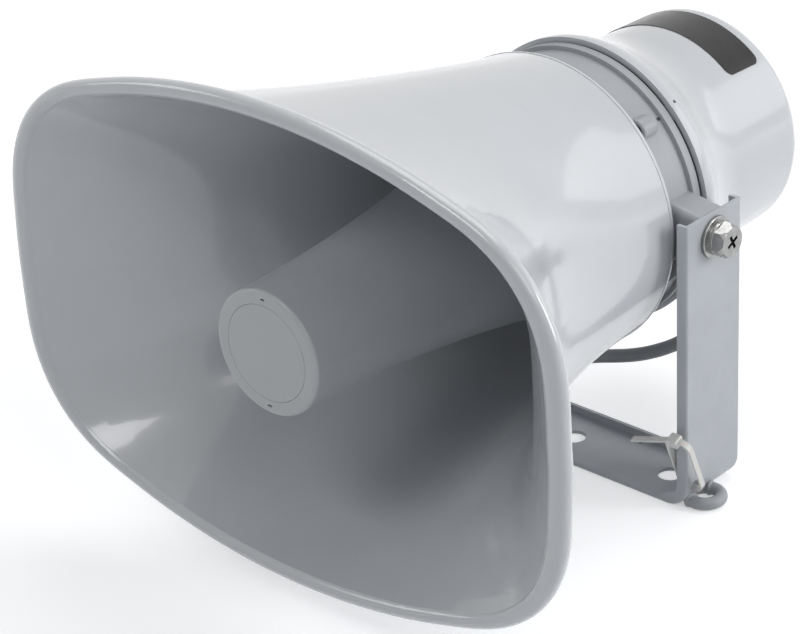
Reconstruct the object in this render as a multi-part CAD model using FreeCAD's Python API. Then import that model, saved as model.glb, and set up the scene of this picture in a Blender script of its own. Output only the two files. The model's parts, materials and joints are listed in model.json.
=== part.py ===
import FreeCAD, Part
import math
import os

# A wide-mouth re-entrant paging horn on its U bracket. Units are millimetres.
# Frame: +Z up, the mouth faces -Y, +X to the right seen from behind the horn.
# The origin is the middle of the bracket's foot. Along the horn, sizes are given
# as a depth behind the mouth plane, and the pivot axis runs along X.

V = FreeCAD.Vector

# Driving sizes of the whole
PIVOT_HEIGHT = 120.0
MOUTH_TO_PIVOT = 178.0

# Mouth, at the outermost line of its rim: four arched sides with round corners
MOUTH_HALF_WIDTH = 143.5
MOUTH_HALF_HEIGHT = 102.0
TOP_ARCH = 37.1
SIDE_ARCH = 14.9
CORNER_RADIUS = 59.8

# Rolled rim: wider at the sides than at the top, with its nose in front of the mouth plane
RIM_SIDE_WIDTH = 9.0
RIM_TOP_WIDTH = 6.5
RIM_NOSE = 2.0
RIM_BACK = 5.2
RIM_OUTER_STATIONS = ((0.48, 0.0), (0.2, 0.1), (0.03, 0.32), (0.0, 0.56), (0.08, 0.82), (0.26, 1.0))
RIM_INNER_STATIONS = ((0.56, 0.0), (0.8, 0.06), (1.0, RIM_NOSE / (RIM_NOSE + RIM_BACK)))

# Flare
FLARE_DEPTH = 163.3
FLARE_REAR_RADIUS = 64.6
FLARE_WALL = 2.5
FLARE_REAR_WALL = 3.0
FLARE_EDGE_RADIUS = 4.0
FLARE_CURVE_HIGH = 1.0
FLARE_CURVE_WIDE = 2.8
FLARE_SKIN_SHARE = 0.6
FLARE_LEDGE_SHARE = 1.02
FLARE_HEEL_STEP = 0.2
FLARE_STATIONS = (0.0, 0.05, 0.12, 0.22, 0.35, 0.5, 0.67, 0.84, 1.0)
OUTLINE_POINTS = 48

# Reflector, the closed bullet in the mouth
REFLECTOR_FRONT = -3.0
REFLECTOR_FACE_RADIUS = 26.2
REFLECTOR_GROWTH = 11.2
REFLECTOR_GROWTH_DEPTH = 120.0
REFLECTOR_LENGTH = 140.0
REFLECTOR_WALL = 2.2
REFLECTOR_FACE_WALL = 4.0
REFLECTOR_EDGE_RADIUS = 1.8
DEFLECTOR_RADIUS = 12.0
DEFLECTOR_HEIGHT = 11.0
BADGE_RADIUS = 20.0
BADGE_THICKNESS = 1.2
BADGE_CLEARANCE = 0.15
PRY_SLOT_WIDTH = 2.2
PRY_SLOT_HEIGHT = 0.9
PRY_SLOT_RADIUS = 22.6

# Throat tube and its ribs
TUBE_MOUTH_DEPTH = 26.0
TUBE_MOUTH_RADIUS = 14.5
THROAT_RADIUS = 10.3
TUBE_WALL = 2.0
TUBE_FLANGE_RADIUS = 29.8
TUBE_FLANGE_THICKNESS = 3.0
RIB_COUNT = 4
RIB_THICKNESS = 2.4
RIB_START = 54.0
RIB_END = 124.0

# Mount collar behind the flare
COLLAR_RADIUS = 58.5
COLLAR_WALL = 4.0
COLLAR_WEB = 3.0
COLLAR_RIM_START = 184.7
COLLAR_RIM_THICKNESS = 4.0
COLLAR_RIM_RADIUS = 60.3
BOSS_ANGLE = 46.0
BOSS_RADIUS = 5.0
BOSS_CENTRE_RADIUS = 57.0
BOSS_START = 170.0
BOSS_STRAIGHT = 7.0
BOSS_EDGE = 1.0
BOSS_HEAD_POCKET = 1.8
POST_WALL = 1.2
WEB_SKIN = 0.6
LUG_HALF_WIDTH = 8.5
LUG_HALF_HEIGHT = 13.0
LUG_END_HALF_HEIGHT = 10.5
LUG_CORNER = 3.0
GUSSET_THICKNESS = 5.0
GUSSET_DROP = 30.0

# Rear cover and its gasket
GASKET_THICKNESS = 1.5
GASKET_RADIUS = 59.3
COVER_FLANGE_RADIUS = 62.3
COVER_FLANGE_LENGTH = 1.5
COVER_SHOULDER_LENGTH = 37.5
COVER_CROWN_SHARE = 0.2
COVER_NECK_RADIUS = 50.9
COVER_END_RADIUS = 49.9
COVER_END_ROOM = 35.0
COVER_EDGE_RADIUS = 6.0
COVER_WALL = 2.6
COVER_BOSS_RADIUS = 4.2
COVER_BOSS_LENGTH = 10.0
COVER_PILOT_FLOOR = 2.0
DRAIN_RADIUS = 0.8
DRAIN_SETBACK = 3.3
DRAIN_ANGLE = 43.5
DRAIN_REACH = 12.0

# Label on top of the cover, left blank
LABEL_SETBACK = 30.0
LABEL_LENGTH = 21.2
LABEL_HALF_ANGLE = 43.3
LABEL_CORNER = 3.0
LABEL_THICKNESS = 0.25
LABEL_GLUE = 0.03

# Screws
COVER_SCREW_HEAD_RADIUS = 3.4
COVER_SCREW_HEAD = 2.2
COVER_SCREW_SHANK = 1.5
DRIVER_SCREW_HEAD_RADIUS = 3.2
DRIVER_SCREW_HEAD = 2.4
DRIVER_SCREW_SHANK = 1.6
DRIVER_SCREW_CIRCLE = 47.4
FRAME_SCREW_HEAD_RADIUS = 2.5
FRAME_SCREW_HEAD = 1.6
FRAME_SCREW_SHANK = 1.2
SCREW_CLEARANCE = 0.15
SCREW_END_GAP = 1.0
COVER_SCREW_END_GAP = 5.0

# Driver, from the throat back
GASKET_DRIVER = 1.0
CLAMP_RING_INNER = 17.2
CLAMP_RING_OUTER = 34.0
CLAMP_RING_THICKNESS = 4.1
SURROUND_INNER = 14.6
SURROUND_OUTER = 19.6
SURROUND_THICKNESS = 0.4
SURROUND_ROLL = 0.9
PLATE_RADIUS = 50.6
PLATE_THICKNESS = 5.0
PLATE_BORE = 14.9
MAGNET_RADIUS = 43.0
MAGNET_BORE = 22.0
MAGNET_THICKNESS = 16.0
YOKE_RADIUS = 42.0
YOKE_THICKNESS = 5.0
POLE_RADIUS = 12.5
POLE_SETBACK = 0.5
COIL_INNER = 13.15
COIL_WALL = 1.1
COIL_LENGTH = 7.0
COIL_STANDOFF = 1.3
DOME_HEIGHT = 4.5
DOME_THICKNESS = 0.35
PLUG_RADIUS = 5.0
PLUG_NOSE = 10.0
PLUG_RING_WALL = 1.5
PLUG_RING_THICKNESS = 2.0
SPOKE_COUNT = 3
SPOKE_THICKNESS = 1.4

# Line transformer on the back of the yoke
CORE_WIDTH = 36.0
CORE_HEIGHT = 30.0
CORE_STACK = 16.0
CORE_STANDOFF = 7.4
LIMB_WIDTH = 10.0
CORE_BACK = 5.0
WINDING_WALL = 6.4
WINDING_CLEARANCE = 0.3
FRAME_SHEET = 0.8
FRAME_FOOT = 9.0
FRAME_WIDTH = 26.0
STRIP_LENGTH = 22.0
STRIP_WIDTH = 7.0
STRIP_THICKNESS = 1.6
STRIP_DROP = 27.0
TAG_LENGTH = 7.0
TAG_WIDTH = 2.4
TAG_THICKNESS = 0.5
TAG_SPACING = 12.0
WIRE_RADIUS = 0.7

# Bracket: pressed strap with short flanges turned inwards
ARM_OUTER = 74.5
STRAP_WIDTH = 36.0
SHEET = 1.6
FLANGE_DEPTH = 5.2
FOOT_LIP_HEIGHT = 2.4
FOOT_LIP_INSET = 3.0
BEND_RADIUS = 11.0
ARM_ABOVE_PIVOT = 10.5
PIVOT_CLEARANCE = 0.1
MOUNT_HOLE_RADIUS = 5.25
MOUNT_HOLE_COUNT = 3
MOUNT_HOLE_PITCH = 52.0
TIE_HOLE_RADIUS = 3.2
TIE_HOLE_SETBACK = 6.0
TIE_HOLE_HEIGHT = 9.0
DRAIN_HOLE_RADIUS = 0.9
DRAIN_HOLE_X = 26.0
DRAIN_HOLE_SETBACK = 5.0

# Pivot bolts M8 with washers, and the threaded inserts in the lugs
BOLT_RADIUS = 4.0
BOLT_LENGTH = 18.0
HEX_ACROSS_FLATS = 13.0
HEX_HEIGHT = 5.3
HEX_CROWN_INSET = 0.2
RECESS_LENGTH = 6.6
RECESS_WIDTH = 1.5
RECESS_DEPTH = 2.6
FLAT_WASHER_RADIUS = 9.0
FLAT_WASHER = 1.6
SPRING_WASHER_RADIUS = 7.2
SPRING_WASHER = 2.2
SPRING_WASHER_GAP = 1.4
WASHER_BORE_CLEARANCE = 0.25
INSERT_RADIUS = 5.6
INSERT_LENGTH = 12.0
LUG_CLEARANCE = 0.2

# Safety eye and cable tie
EYE_RING_RADIUS = 6.8
EYE_WIRE_RADIUS = 2.7
EYE_X = 75.6
EYE_Y = -7.0
EYE_FLOOR = 0.2
TIE_WIDTH = 2.6
TIE_THICKNESS = 1.1
TIE_LOOP_HEIGHT = 29.0
TIE_LEAN = 22.0
TIE_INNER_X = 66.8
TIE_OUTER_X = 79.4
TIE_CORNER = 5.0
TIE_HEAD = 5.0
TIE_HEAD_OFFSET = 4.8
TIE_HEAD_DEPTH = 4.2
TIE_TAIL_LENGTH = 27.0
TIE_TAIL_DROOP = 24.0

# Cable and its gland, which points down from a boss under the cover
CABLE_DIAMETER = 6.0
GLAND_X = 38.0
GLAND_SETBACK = 31.8
GLAND_SEAT_HEIGHT = 76.5
GLAND_BOSS_RADIUS = 9.0
GLAND_HOLE_RADIUS = 5.0
GLAND_FLANGE_RADIUS = 7.5
GLAND_FLANGE = 2.0
GLAND_TOP_RADIUS = 6.0
GLAND_TIP_RADIUS = 4.4
GLAND_LENGTH = 9.0
GLAND_STEM = 8.0
CABLE_FIRST_DROP = 8.0
CORE_RADIUS = 1.1
CORE_BARE_RADIUS = 0.7
CORE_LENGTH = 34.0
CORE_BARE_LENGTH = 9.0
CABLE_ROUTE = [
    (35.8, 43.0, 49.5),
    (30.9, 40.8, 42.6),
    (22.5, 36.5, 36.6),
    (9.5, 30.0, 31.4),
    (-8.0, 19.0, 30.5),
    (-23.0, 2.0, 28.5),
    (-32.0, -21.0, 26.5),
    (-36.0, -46.0, 26.5),
    (-39.0, -68.0, 22.0),
    (-44.0, -88.0, 13.0),
    (-52.0, -104.0, 5.5),
    (-66.0, -117.0, 3.2),
    (-84.0, -123.0, 3.2),
    (-102.0, -119.0, 3.2),
    (-115.0, -106.0, 3.2),
    (-120.0, -89.0, 3.2),
    (-115.0, -72.0, 3.2),
    (-102.0, -59.0, 3.2),
    (-84.0, -54.0, 3.2),
    (-66.0, -57.0, 3.2),
    (-50.0, -65.0, 3.2),
]


def horn_y(depth):
    """Y of a place given as a depth behind the mouth plane."""
    return depth - MOUTH_TO_PIVOT


AXIS_POINT = V(0, 0, PIVOT_HEIGHT)
ALONG = V(0, 1, 0)


def polar(radius, angle, depth):
    """A point round the horn's axis; angle in degrees from the top towards +X."""
    a = math.radians(angle)
    return V(radius * math.sin(a), horn_y(depth), PIVOT_HEIGHT + radius * math.cos(a))


def on_plane(radius, depth):
    """A point of a half section, radius against depth."""
    return V(radius, horn_y(depth), PIVOT_HEIGHT)


def line(a, b):
    return Part.LineSegment(a, b).toShape()


def arc(a, middle, b):
    return Part.Arc(a, middle, b).toShape()


def turned(points):
    """Solid of revolution about the horn's axis from a closed half section of straight sides."""
    corners = [on_plane(r, d) for r, d in points]
    face = Part.Face(Part.makePolygon(corners + corners[:1]))
    return face.revolve(AXIS_POINT, ALONG, 360)


def turned_edges(edges):
    """Solid of revolution about the horn's axis from the edges of a closed half section."""
    return Part.Face(Part.Wire(edges)).revolve(AXIS_POINT, ALONG, 360)


def ring(inner, outer, start, length):
    return turned([(inner, start), (outer, start), (outer, start + length), (inner, start + length)])


def disc(radius, start, length):
    return Part.makeCylinder(radius, length, V(0, horn_y(start), PIVOT_HEIGHT), ALONG)


def rod(radius, length, base, direction):
    return Part.makeCylinder(radius, length, base, direction)


def box_between(low, high):
    return Part.makeBox(high[0] - low[0], high[1] - low[1], high[2] - low[2], V(*low))


def fuse(shapes):
    whole = shapes[0].fuse(shapes[1:]) if len(shapes) > 1 else shapes[0]
    return whole.removeSplitter()


def group(shapes):
    return Part.makeCompound(shapes)


def mirrored(shape):
    """The same piece on the other side of the YZ plane."""
    return shape.mirror(V(0, 0, 0), V(1, 0, 0))


# Mouth outline


class Outline:
    """A mouth outline of eight tangent arcs, found by the distance from the axis in any direction."""

    def __init__(self, half_width, half_height, top_arch, side_arch, corner_radius):
        self.top_radius = (half_width ** 2 + top_arch ** 2) / (2 * top_arch)
        self.side_radius = (half_height ** 2 + side_arch ** 2) / (2 * side_arch)
        self.corner_radius = corner_radius
        self.top_centre = (0.0, half_height - self.top_radius)
        self.side_centre = (half_width - self.side_radius, 0.0)
        to_top = self.top_radius - corner_radius
        to_side = self.side_radius - corner_radius
        dx = self.side_centre[0] - self.top_centre[0]
        dz = self.side_centre[1] - self.top_centre[1]
        span = math.hypot(dx, dz)
        along = (to_top ** 2 - to_side ** 2 + span ** 2) / (2 * span)
        off = math.sqrt(to_top ** 2 - along ** 2)
        self.corner_centre = (
            self.top_centre[0] + (along * dx + off * dz) / span,
            self.top_centre[1] + (along * dz - off * dx) / span,
        )
        self.top_end = self.end_angle(self.top_centre, self.top_radius)
        self.side_end = self.end_angle(self.side_centre, self.side_radius)

    def end_angle(self, centre, radius):
        """Direction from the axis of the point where an arc meets the corner arc."""
        dx = self.corner_centre[0] - centre[0]
        dz = self.corner_centre[1] - centre[1]
        reach = radius / math.hypot(dx, dz)
        return math.atan2(centre[1] + dz * reach, centre[0] + dx * reach)

    @staticmethod
    def reach(centre, radius, angle):
        forward = centre[0] * math.cos(angle) + centre[1] * math.sin(angle)
        return forward + math.sqrt(radius ** 2 - centre[0] ** 2 - centre[1] ** 2 + forward ** 2)

    def distance(self, angle):
        """Distance from the axis to the outline at an angle from +X, in radians."""
        folded = math.atan2(abs(math.sin(angle)), abs(math.cos(angle)))
        if folded > self.top_end:
            return self.reach(self.top_centre, self.top_radius, folded)
        if folded < self.side_end:
            return self.reach(self.side_centre, self.side_radius, folded)
        return self.reach(self.corner_centre, self.corner_radius, folded)


def offset_outline(side_inset, top_inset):
    """The mouth's outline moved inwards, by different amounts at the sides and at the top."""
    half_width = MOUTH_HALF_WIDTH - side_inset
    half_height = MOUTH_HALF_HEIGHT - top_inset
    top_radius = (MOUTH_HALF_WIDTH ** 2 + TOP_ARCH ** 2) / (2 * TOP_ARCH) - top_inset
    side_radius = (MOUTH_HALF_HEIGHT ** 2 + SIDE_ARCH ** 2) / (2 * SIDE_ARCH) - side_inset
    top_arch = top_radius - math.sqrt(top_radius ** 2 - half_width ** 2)
    side_arch = side_radius - math.sqrt(side_radius ** 2 - half_height ** 2)
    corner = CORNER_RADIUS - (side_inset + top_inset) / 2
    return Outline(half_width, half_height, top_arch, side_arch, corner)


OUTER_LINE = offset_outline(0, 0)
INNER_LINE = offset_outline(RIM_SIDE_WIDTH, RIM_TOP_WIDTH)


def mouth_reach(angle, share):
    """Distance from the axis at the mouth; share runs from the rim's outermost line to its inner edge."""
    return OUTER_LINE.distance(angle) * (1 - share) + INNER_LINE.distance(angle) * share


def closed_curve(reach, depth):
    """Smooth closed curve at a depth; reach gives the distance from the axis for an angle."""
    places = []
    for k in range(OUTLINE_POINTS):
        angle = 2 * math.pi * k / OUTLINE_POINTS
        places.append(V(reach(angle) * math.cos(angle), horn_y(depth),
                        PIVOT_HEIGHT + reach(angle) * math.sin(angle)))
    spline = Part.BSplineCurve()
    evenly = [k / OUTLINE_POINTS for k in range(OUTLINE_POINTS + 1)]
    spline.interpolate(Points=places, PeriodicFlag=True, Parameters=evenly)
    return Part.Wire([spline.toShape()])


def flare_section(mouth_share, rear_radius, share):
    """Closed curve of the flare at a share of its depth: the mouth's outline melts into a circle."""

    def reach(angle):
        curve = FLARE_CURVE_HIGH + (FLARE_CURVE_WIDE - FLARE_CURVE_HIGH) * math.cos(angle) ** 2
        return rear_radius + (mouth_reach(angle, mouth_share) - rear_radius) * (1 - share) ** curve

    return closed_curve(reach, share * FLARE_DEPTH)


def flare_body(mouth_share, rear_radius):
    """Solid inside one skin of the flare, from the mouth to its rear."""
    return Part.makeLoft([flare_section(mouth_share, rear_radius, s) for s in FLARE_STATIONS], True)


def rim_body(stations):
    """Solid inside one skin of the rim, through stations of inset share and depth share."""
    depth = RIM_NOSE + RIM_BACK
    wires = []
    for inset, share in stations:
        wires.append(closed_curve(lambda angle: mouth_reach(angle, inset), share * depth - RIM_NOSE))
    return Part.makeLoft(wires, True)


def make_flare():
    """Outer moulding: lofted horn wall, rolled rim and rear wall with the hole for the throat tube."""
    outer_end = FLARE_DEPTH + FLARE_EDGE_RADIUS
    edge = FLARE_EDGE_RADIUS
    corner = edge * math.sqrt(0.5)
    centre = (FLARE_REAR_RADIUS - edge, FLARE_DEPTH)
    heel = turned_edges([
        line(on_plane(0, FLARE_DEPTH), on_plane(FLARE_REAR_RADIUS, FLARE_DEPTH)),
        arc(on_plane(FLARE_REAR_RADIUS, FLARE_DEPTH), on_plane(centre[0] + corner, centre[1] + corner),
            on_plane(centre[0], outer_end)),
        line(on_plane(centre[0], outer_end), on_plane(0, outer_end)),
        line(on_plane(0, outer_end), on_plane(0, FLARE_DEPTH)),
    ])
    skin_radius = FLARE_REAR_RADIUS - FLARE_HEEL_STEP
    hollow_radius = skin_radius - FLARE_WALL
    room_end = outer_end - FLARE_REAR_WALL
    room = disc(hollow_radius - FLARE_HEEL_STEP, FLARE_DEPTH, room_end - FLARE_DEPTH)
    hole = disc(THROAT_RADIUS + TUBE_WALL + SCREW_CLEARANCE, FLARE_DEPTH - 1, edge + 2)
    hollow = flare_body(FLARE_LEDGE_SHARE, hollow_radius)
    wall = flare_body(FLARE_SKIN_SHARE, skin_radius).cut(hollow)
    rim = rim_body(RIM_OUTER_STATIONS).cut(rim_body(RIM_INNER_STATIONS)).cut(hollow)
    return wall.fuse([rim, heel.cut([room, hole])]).removeSplitter()


# Reflector


def reflector_radius(depth):
    return REFLECTOR_FACE_RADIUS + REFLECTOR_GROWTH * (max(depth, 0) / REFLECTOR_GROWTH_DEPTH) ** 2


def reflector_curve(inset, start, end, steps=6):
    """The bullet's long side as a curve, moved inwards by inset."""
    spots = [start + (end - start) * k / steps for k in range(steps + 1)]
    spline = Part.BSplineCurve()
    spline.interpolate([on_plane(reflector_radius(d) - inset, d) for d in spots])
    return spline.toShape()


def reflector_room():
    """The space inside the reflector."""
    start = REFLECTOR_FRONT + REFLECTOR_FACE_WALL
    end = REFLECTOR_FRONT + REFLECTOR_LENGTH
    side = reflector_curve(REFLECTOR_WALL, start, end)
    near = reflector_radius(start) - REFLECTOR_WALL
    far = reflector_radius(end) - REFLECTOR_WALL
    return turned_edges([
        line(on_plane(0, start), on_plane(near, start)),
        side,
        line(on_plane(far, end), on_plane(0, end)),
        line(on_plane(0, end), on_plane(0, start)),
    ])


def make_reflector():
    """Closed bullet: face with badge recess and pry slots, cone inside, open at the rear."""
    front = REFLECTOR_FRONT
    end = front + REFLECTOR_LENGTH
    edge = REFLECTOR_EDGE_RADIUS
    face = reflector_radius(front + edge)
    corner = edge * math.sqrt(0.5)
    body = turned_edges([
        line(on_plane(0, front), on_plane(face - edge, front)),
        arc(on_plane(face - edge, front), on_plane(face - edge + corner, front + edge - corner),
            on_plane(face, front + edge)),
        reflector_curve(0, front + edge, end),
        line(on_plane(reflector_radius(end), end), on_plane(0, end)),
        line(on_plane(0, end), on_plane(0, front)),
    ])
    inside = front + REFLECTOR_FACE_WALL
    cone_foot = V(0, horn_y(inside), PIVOT_HEIGHT)
    cone = Part.makeCone(DEFLECTOR_RADIUS, 0, DEFLECTOR_HEIGHT, cone_foot, ALONG)
    recess = disc(BADGE_RADIUS + BADGE_CLEARANCE, front - 1, BADGE_THICKNESS + 1)
    whole = body.cut(reflector_room()).fuse(cone).cut(recess)
    for side in (1, -1):
        middle = PIVOT_HEIGHT + side * PRY_SLOT_RADIUS
        slot = box_between(
            (-PRY_SLOT_WIDTH / 2, horn_y(front) - 1, middle - PRY_SLOT_HEIGHT / 2),
            (PRY_SLOT_WIDTH / 2, horn_y(front) + BADGE_THICKNESS, middle + PRY_SLOT_HEIGHT / 2),
        )
        whole = whole.cut(slot)
    return whole


def make_badge_disc():
    return disc(BADGE_RADIUS, REFLECTOR_FRONT, BADGE_THICKNESS)


# Throat tube


def tube_start():
    return FLARE_DEPTH + FLARE_EDGE_RADIUS


def web_start():
    return tube_start() + TUBE_FLANGE_THICKNESS


def web_end():
    return web_start() + COLLAR_WEB


def make_throat_tube():
    """Tapered tube with its rear flange and the ribs that carry the reflector."""
    back = web_start()
    body = turned([
        (THROAT_RADIUS, back),
        (TUBE_FLANGE_RADIUS, back),
        (TUBE_FLANGE_RADIUS, tube_start()),
        (THROAT_RADIUS + TUBE_WALL, tube_start()),
        (TUBE_MOUTH_RADIUS + TUBE_WALL, TUBE_MOUTH_DEPTH),
        (TUBE_MOUTH_RADIUS, TUBE_MOUTH_DEPTH),
    ])
    bore = turned([
        (0, back),
        (THROAT_RADIUS, back),
        (TUBE_MOUTH_RADIUS, TUBE_MOUTH_DEPTH),
        (0, TUBE_MOUTH_DEPTH),
    ])
    room = reflector_room()
    ribs = []
    for k in range(RIB_COUNT):
        blade = box_between(
            (-RIB_THICKNESS / 2, horn_y(RIB_START), PIVOT_HEIGHT),
            (RIB_THICKNESS / 2, horn_y(RIB_END), PIVOT_HEIGHT + reflector_radius(RIB_END)),
        )
        blade.rotate(AXIS_POINT, ALONG, 45 + 360 * k / RIB_COUNT)
        ribs.append(blade.common(room))
    return body.fuse(ribs).cut(bore).removeSplitter()


# Mount collar


def boss_angles():
    return [BOSS_ANGLE, 180 - BOSS_ANGLE, 180 + BOSS_ANGLE, 360 - BOSS_ANGLE]


def lug_end_x():
    return ARM_OUTER - SHEET - LUG_CLEARANCE


def make_lug():
    """Right-hand lug: block that narrows outwards, with a gusset below."""
    root = COLLAR_RADIUS - COLLAR_WALL / 2
    end = lug_end_x()

    def outline(x, half_high):
        y, z = LUG_HALF_WIDTH, PIVOT_HEIGHT
        spots = [V(x, -y, z - half_high), V(x, y, z - half_high), V(x, y, z + half_high),
                 V(x, -y, z + half_high)]
        return Part.makePolygon(spots + spots[:1])

    block = Part.makeLoft([outline(root, LUG_HALF_HEIGHT), outline(end, LUG_END_HALF_HEIGHT)], True, True)
    long_edges = [e for e in block.Edges if abs(e.tangentAt(e.FirstParameter).x) > 0.9]
    block = block.makeFillet(LUG_CORNER, long_edges)
    low = PIVOT_HEIGHT - LUG_END_HALF_HEIGHT
    drop = PIVOT_HEIGHT - GUSSET_DROP
    inner = math.sqrt((COLLAR_RADIUS - 1) ** 2 - GUSSET_DROP ** 2)
    gusset_face = Part.Face(Part.makePolygon([
        V(root - 4, -GUSSET_THICKNESS / 2, low + 2),
        V(end - 6, -GUSSET_THICKNESS / 2, low + 2),
        V(end - 6, -GUSSET_THICKNESS / 2, low - 2),
        V(inner, -GUSSET_THICKNESS / 2, drop),
        V(inner - 4, -GUSSET_THICKNESS / 2, drop + 4),
        V(root - 4, -GUSSET_THICKNESS / 2, low + 2),
    ]))
    return block.fuse(gusset_face.extrude(V(0, GUSSET_THICKNESS, 0)))


def make_mount_collar():
    """Waist ring with front web, rear rim, screw bosses, driver posts and the two lugs."""
    start = tube_start()
    inner = COLLAR_RADIUS - COLLAR_WALL
    rim_end = COLLAR_RIM_START + COLLAR_RIM_THICKNESS
    barrel = disc(COLLAR_RADIUS, start, rim_end - start)
    rim = disc(COLLAR_RIM_RADIUS, COLLAR_RIM_START, COLLAR_RIM_THICKNESS)
    lug = make_lug()
    bosses = []
    pockets = []
    for angle in boss_angles():
        centre = polar(BOSS_CENTRE_RADIUS, angle, BOSS_START)
        length = rim_end - BOSS_START
        post = rod(BOSS_RADIUS, BOSS_STRAIGHT, centre, ALONG)
        front = [e for e in post.Edges if abs(e.CenterOfMass.y - centre.y) < 0.01]
        bosses.append(post.makeFillet(BOSS_EDGE, front))
        bosses.append(Part.makeSphere(BOSS_RADIUS, centre + ALONG * BOSS_STRAIGHT))
        head_room = BOSS_HEAD_POCKET + COVER_SCREW_HEAD + 1
        pockets.append(rod(COVER_SCREW_HEAD_RADIUS + SCREW_CLEARANCE, head_room, centre - ALONG, ALONG))
        pockets.append(rod(COVER_SCREW_SHANK + SCREW_CLEARANCE, length + 2, centre - ALONG, ALONG))
    outside = fuse([barrel, rim, lug, mirrored(lug)] + bosses)
    room = disc(inner, web_end(), rim_end - web_end() + 1)
    seat = disc(TUBE_FLANGE_RADIUS + SCREW_CLEARANCE, start - 1, TUBE_FLANGE_THICKNESS + 1)
    throat = disc(THROAT_RADIUS, start - 1, rim_end - start)
    whole = outside.cut([room, seat, throat])
    posts = []
    for angle in driver_screw_angles():
        foot = polar(DRIVER_SCREW_CIRCLE, angle, web_end() - 0.01)
        posts.append(rod(DRIVER_SCREW_SHANK + POST_WALL * 2, plate_start() - web_end() + 0.01, foot, ALONG))
        hole_start = polar(DRIVER_SCREW_CIRCLE, angle, web_start() + WEB_SKIN)
        pockets.append(rod(DRIVER_SCREW_SHANK, plate_start() - web_start(), hole_start, ALONG))
    for side in (1, -1):
        mouth = V(side * lug_end_x(), 0, PIVOT_HEIGHT)
        inward = V(-side, 0, 0)
        pockets.append(rod(INSERT_RADIUS, INSERT_LENGTH, mouth, inward))
        pockets.append(rod(BOLT_RADIUS + SCREW_CLEARANCE, BOLT_LENGTH, mouth, inward))
    return whole.fuse(posts).cut(pockets).removeSplitter()


def make_insert():
    """Right-hand threaded insert: round body with a groove, bored for the bolt."""
    end = lug_end_x()
    body = rod(INSERT_RADIUS, INSERT_LENGTH, V(end, 0, PIVOT_HEIGHT), V(-1, 0, 0))
    bore = rod(BOLT_RADIUS, INSERT_LENGTH + 2, V(end + 1, 0, PIVOT_HEIGHT), V(-1, 0, 0))
    return body.cut(bore)


# Rear cover


def gasket_start():
    return COLLAR_RIM_START + COLLAR_RIM_THICKNESS


def cover_start():
    return gasket_start() + GASKET_THICKNESS


def neck_start():
    return cover_start() + COVER_FLANGE_LENGTH + COVER_SHOULDER_LENGTH


def cover_end():
    return core_end() + WINDING_WALL + COVER_END_ROOM + COVER_WALL


def neck_radius(depth):
    """Outer radius of the cover's slightly tapered barrel."""
    share = (depth - neck_start()) / (cover_end() - neck_start())
    return COVER_NECK_RADIUS + (COVER_END_RADIUS - COVER_NECK_RADIUS) * share


def cover_body(inset):
    """Solid inside one skin of the cover: flange, double-curved shoulder, barrel, rounded end."""
    start = cover_start()
    drop = COVER_FLANGE_RADIUS - COVER_NECK_RADIUS
    both_bends = (COVER_SHOULDER_LENGTH ** 2 + drop ** 2) / (2 * drop)
    sweep = 2 * math.atan(drop / COVER_SHOULDER_LENGTH)
    crown_bend = both_bends * COVER_CROWN_SHARE
    hollow_bend = both_bends - crown_bend
    crown = crown_bend - inset
    hollow = hollow_bend + inset
    shoulder = start + COVER_FLANGE_LENGTH
    crown_centre = (COVER_FLANGE_RADIUS - crown_bend, shoulder)
    hollow_centre = (COVER_NECK_RADIUS + hollow_bend, shoulder + COVER_SHOULDER_LENGTH)

    def crown_spot(angle):
        radius = crown_centre[0] + crown * math.cos(angle)
        return on_plane(radius, crown_centre[1] + crown * math.sin(angle))

    def hollow_spot(angle):
        radius = hollow_centre[0] - hollow * math.cos(angle)
        return on_plane(radius, hollow_centre[1] - hollow * math.sin(angle))

    end = cover_end() - inset
    edge = COVER_EDGE_RADIUS - inset
    corner = edge * math.sqrt(0.5)
    side = neck_radius(end - edge) - inset
    neck = on_plane(COVER_NECK_RADIUS - inset, hollow_centre[1])
    return turned_edges([
        line(on_plane(0, start), on_plane(COVER_FLANGE_RADIUS - inset, start)),
        line(on_plane(COVER_FLANGE_RADIUS - inset, start), crown_spot(0)),
        arc(crown_spot(0), crown_spot(sweep / 2), crown_spot(sweep)),
        arc(hollow_spot(sweep), hollow_spot(sweep / 2), neck),
        line(neck, on_plane(side, end - edge)),
        arc(on_plane(side, end - edge), on_plane(side - edge + corner, end - edge + corner),
            on_plane(side - edge, end)),
        line(on_plane(side - edge, end), on_plane(0, end)),
        line(on_plane(0, end), on_plane(0, start)),
    ])


def gland_seat():
    return V(GLAND_X, horn_y(cover_start() + GLAND_SETBACK), GLAND_SEAT_HEIGHT)


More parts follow.
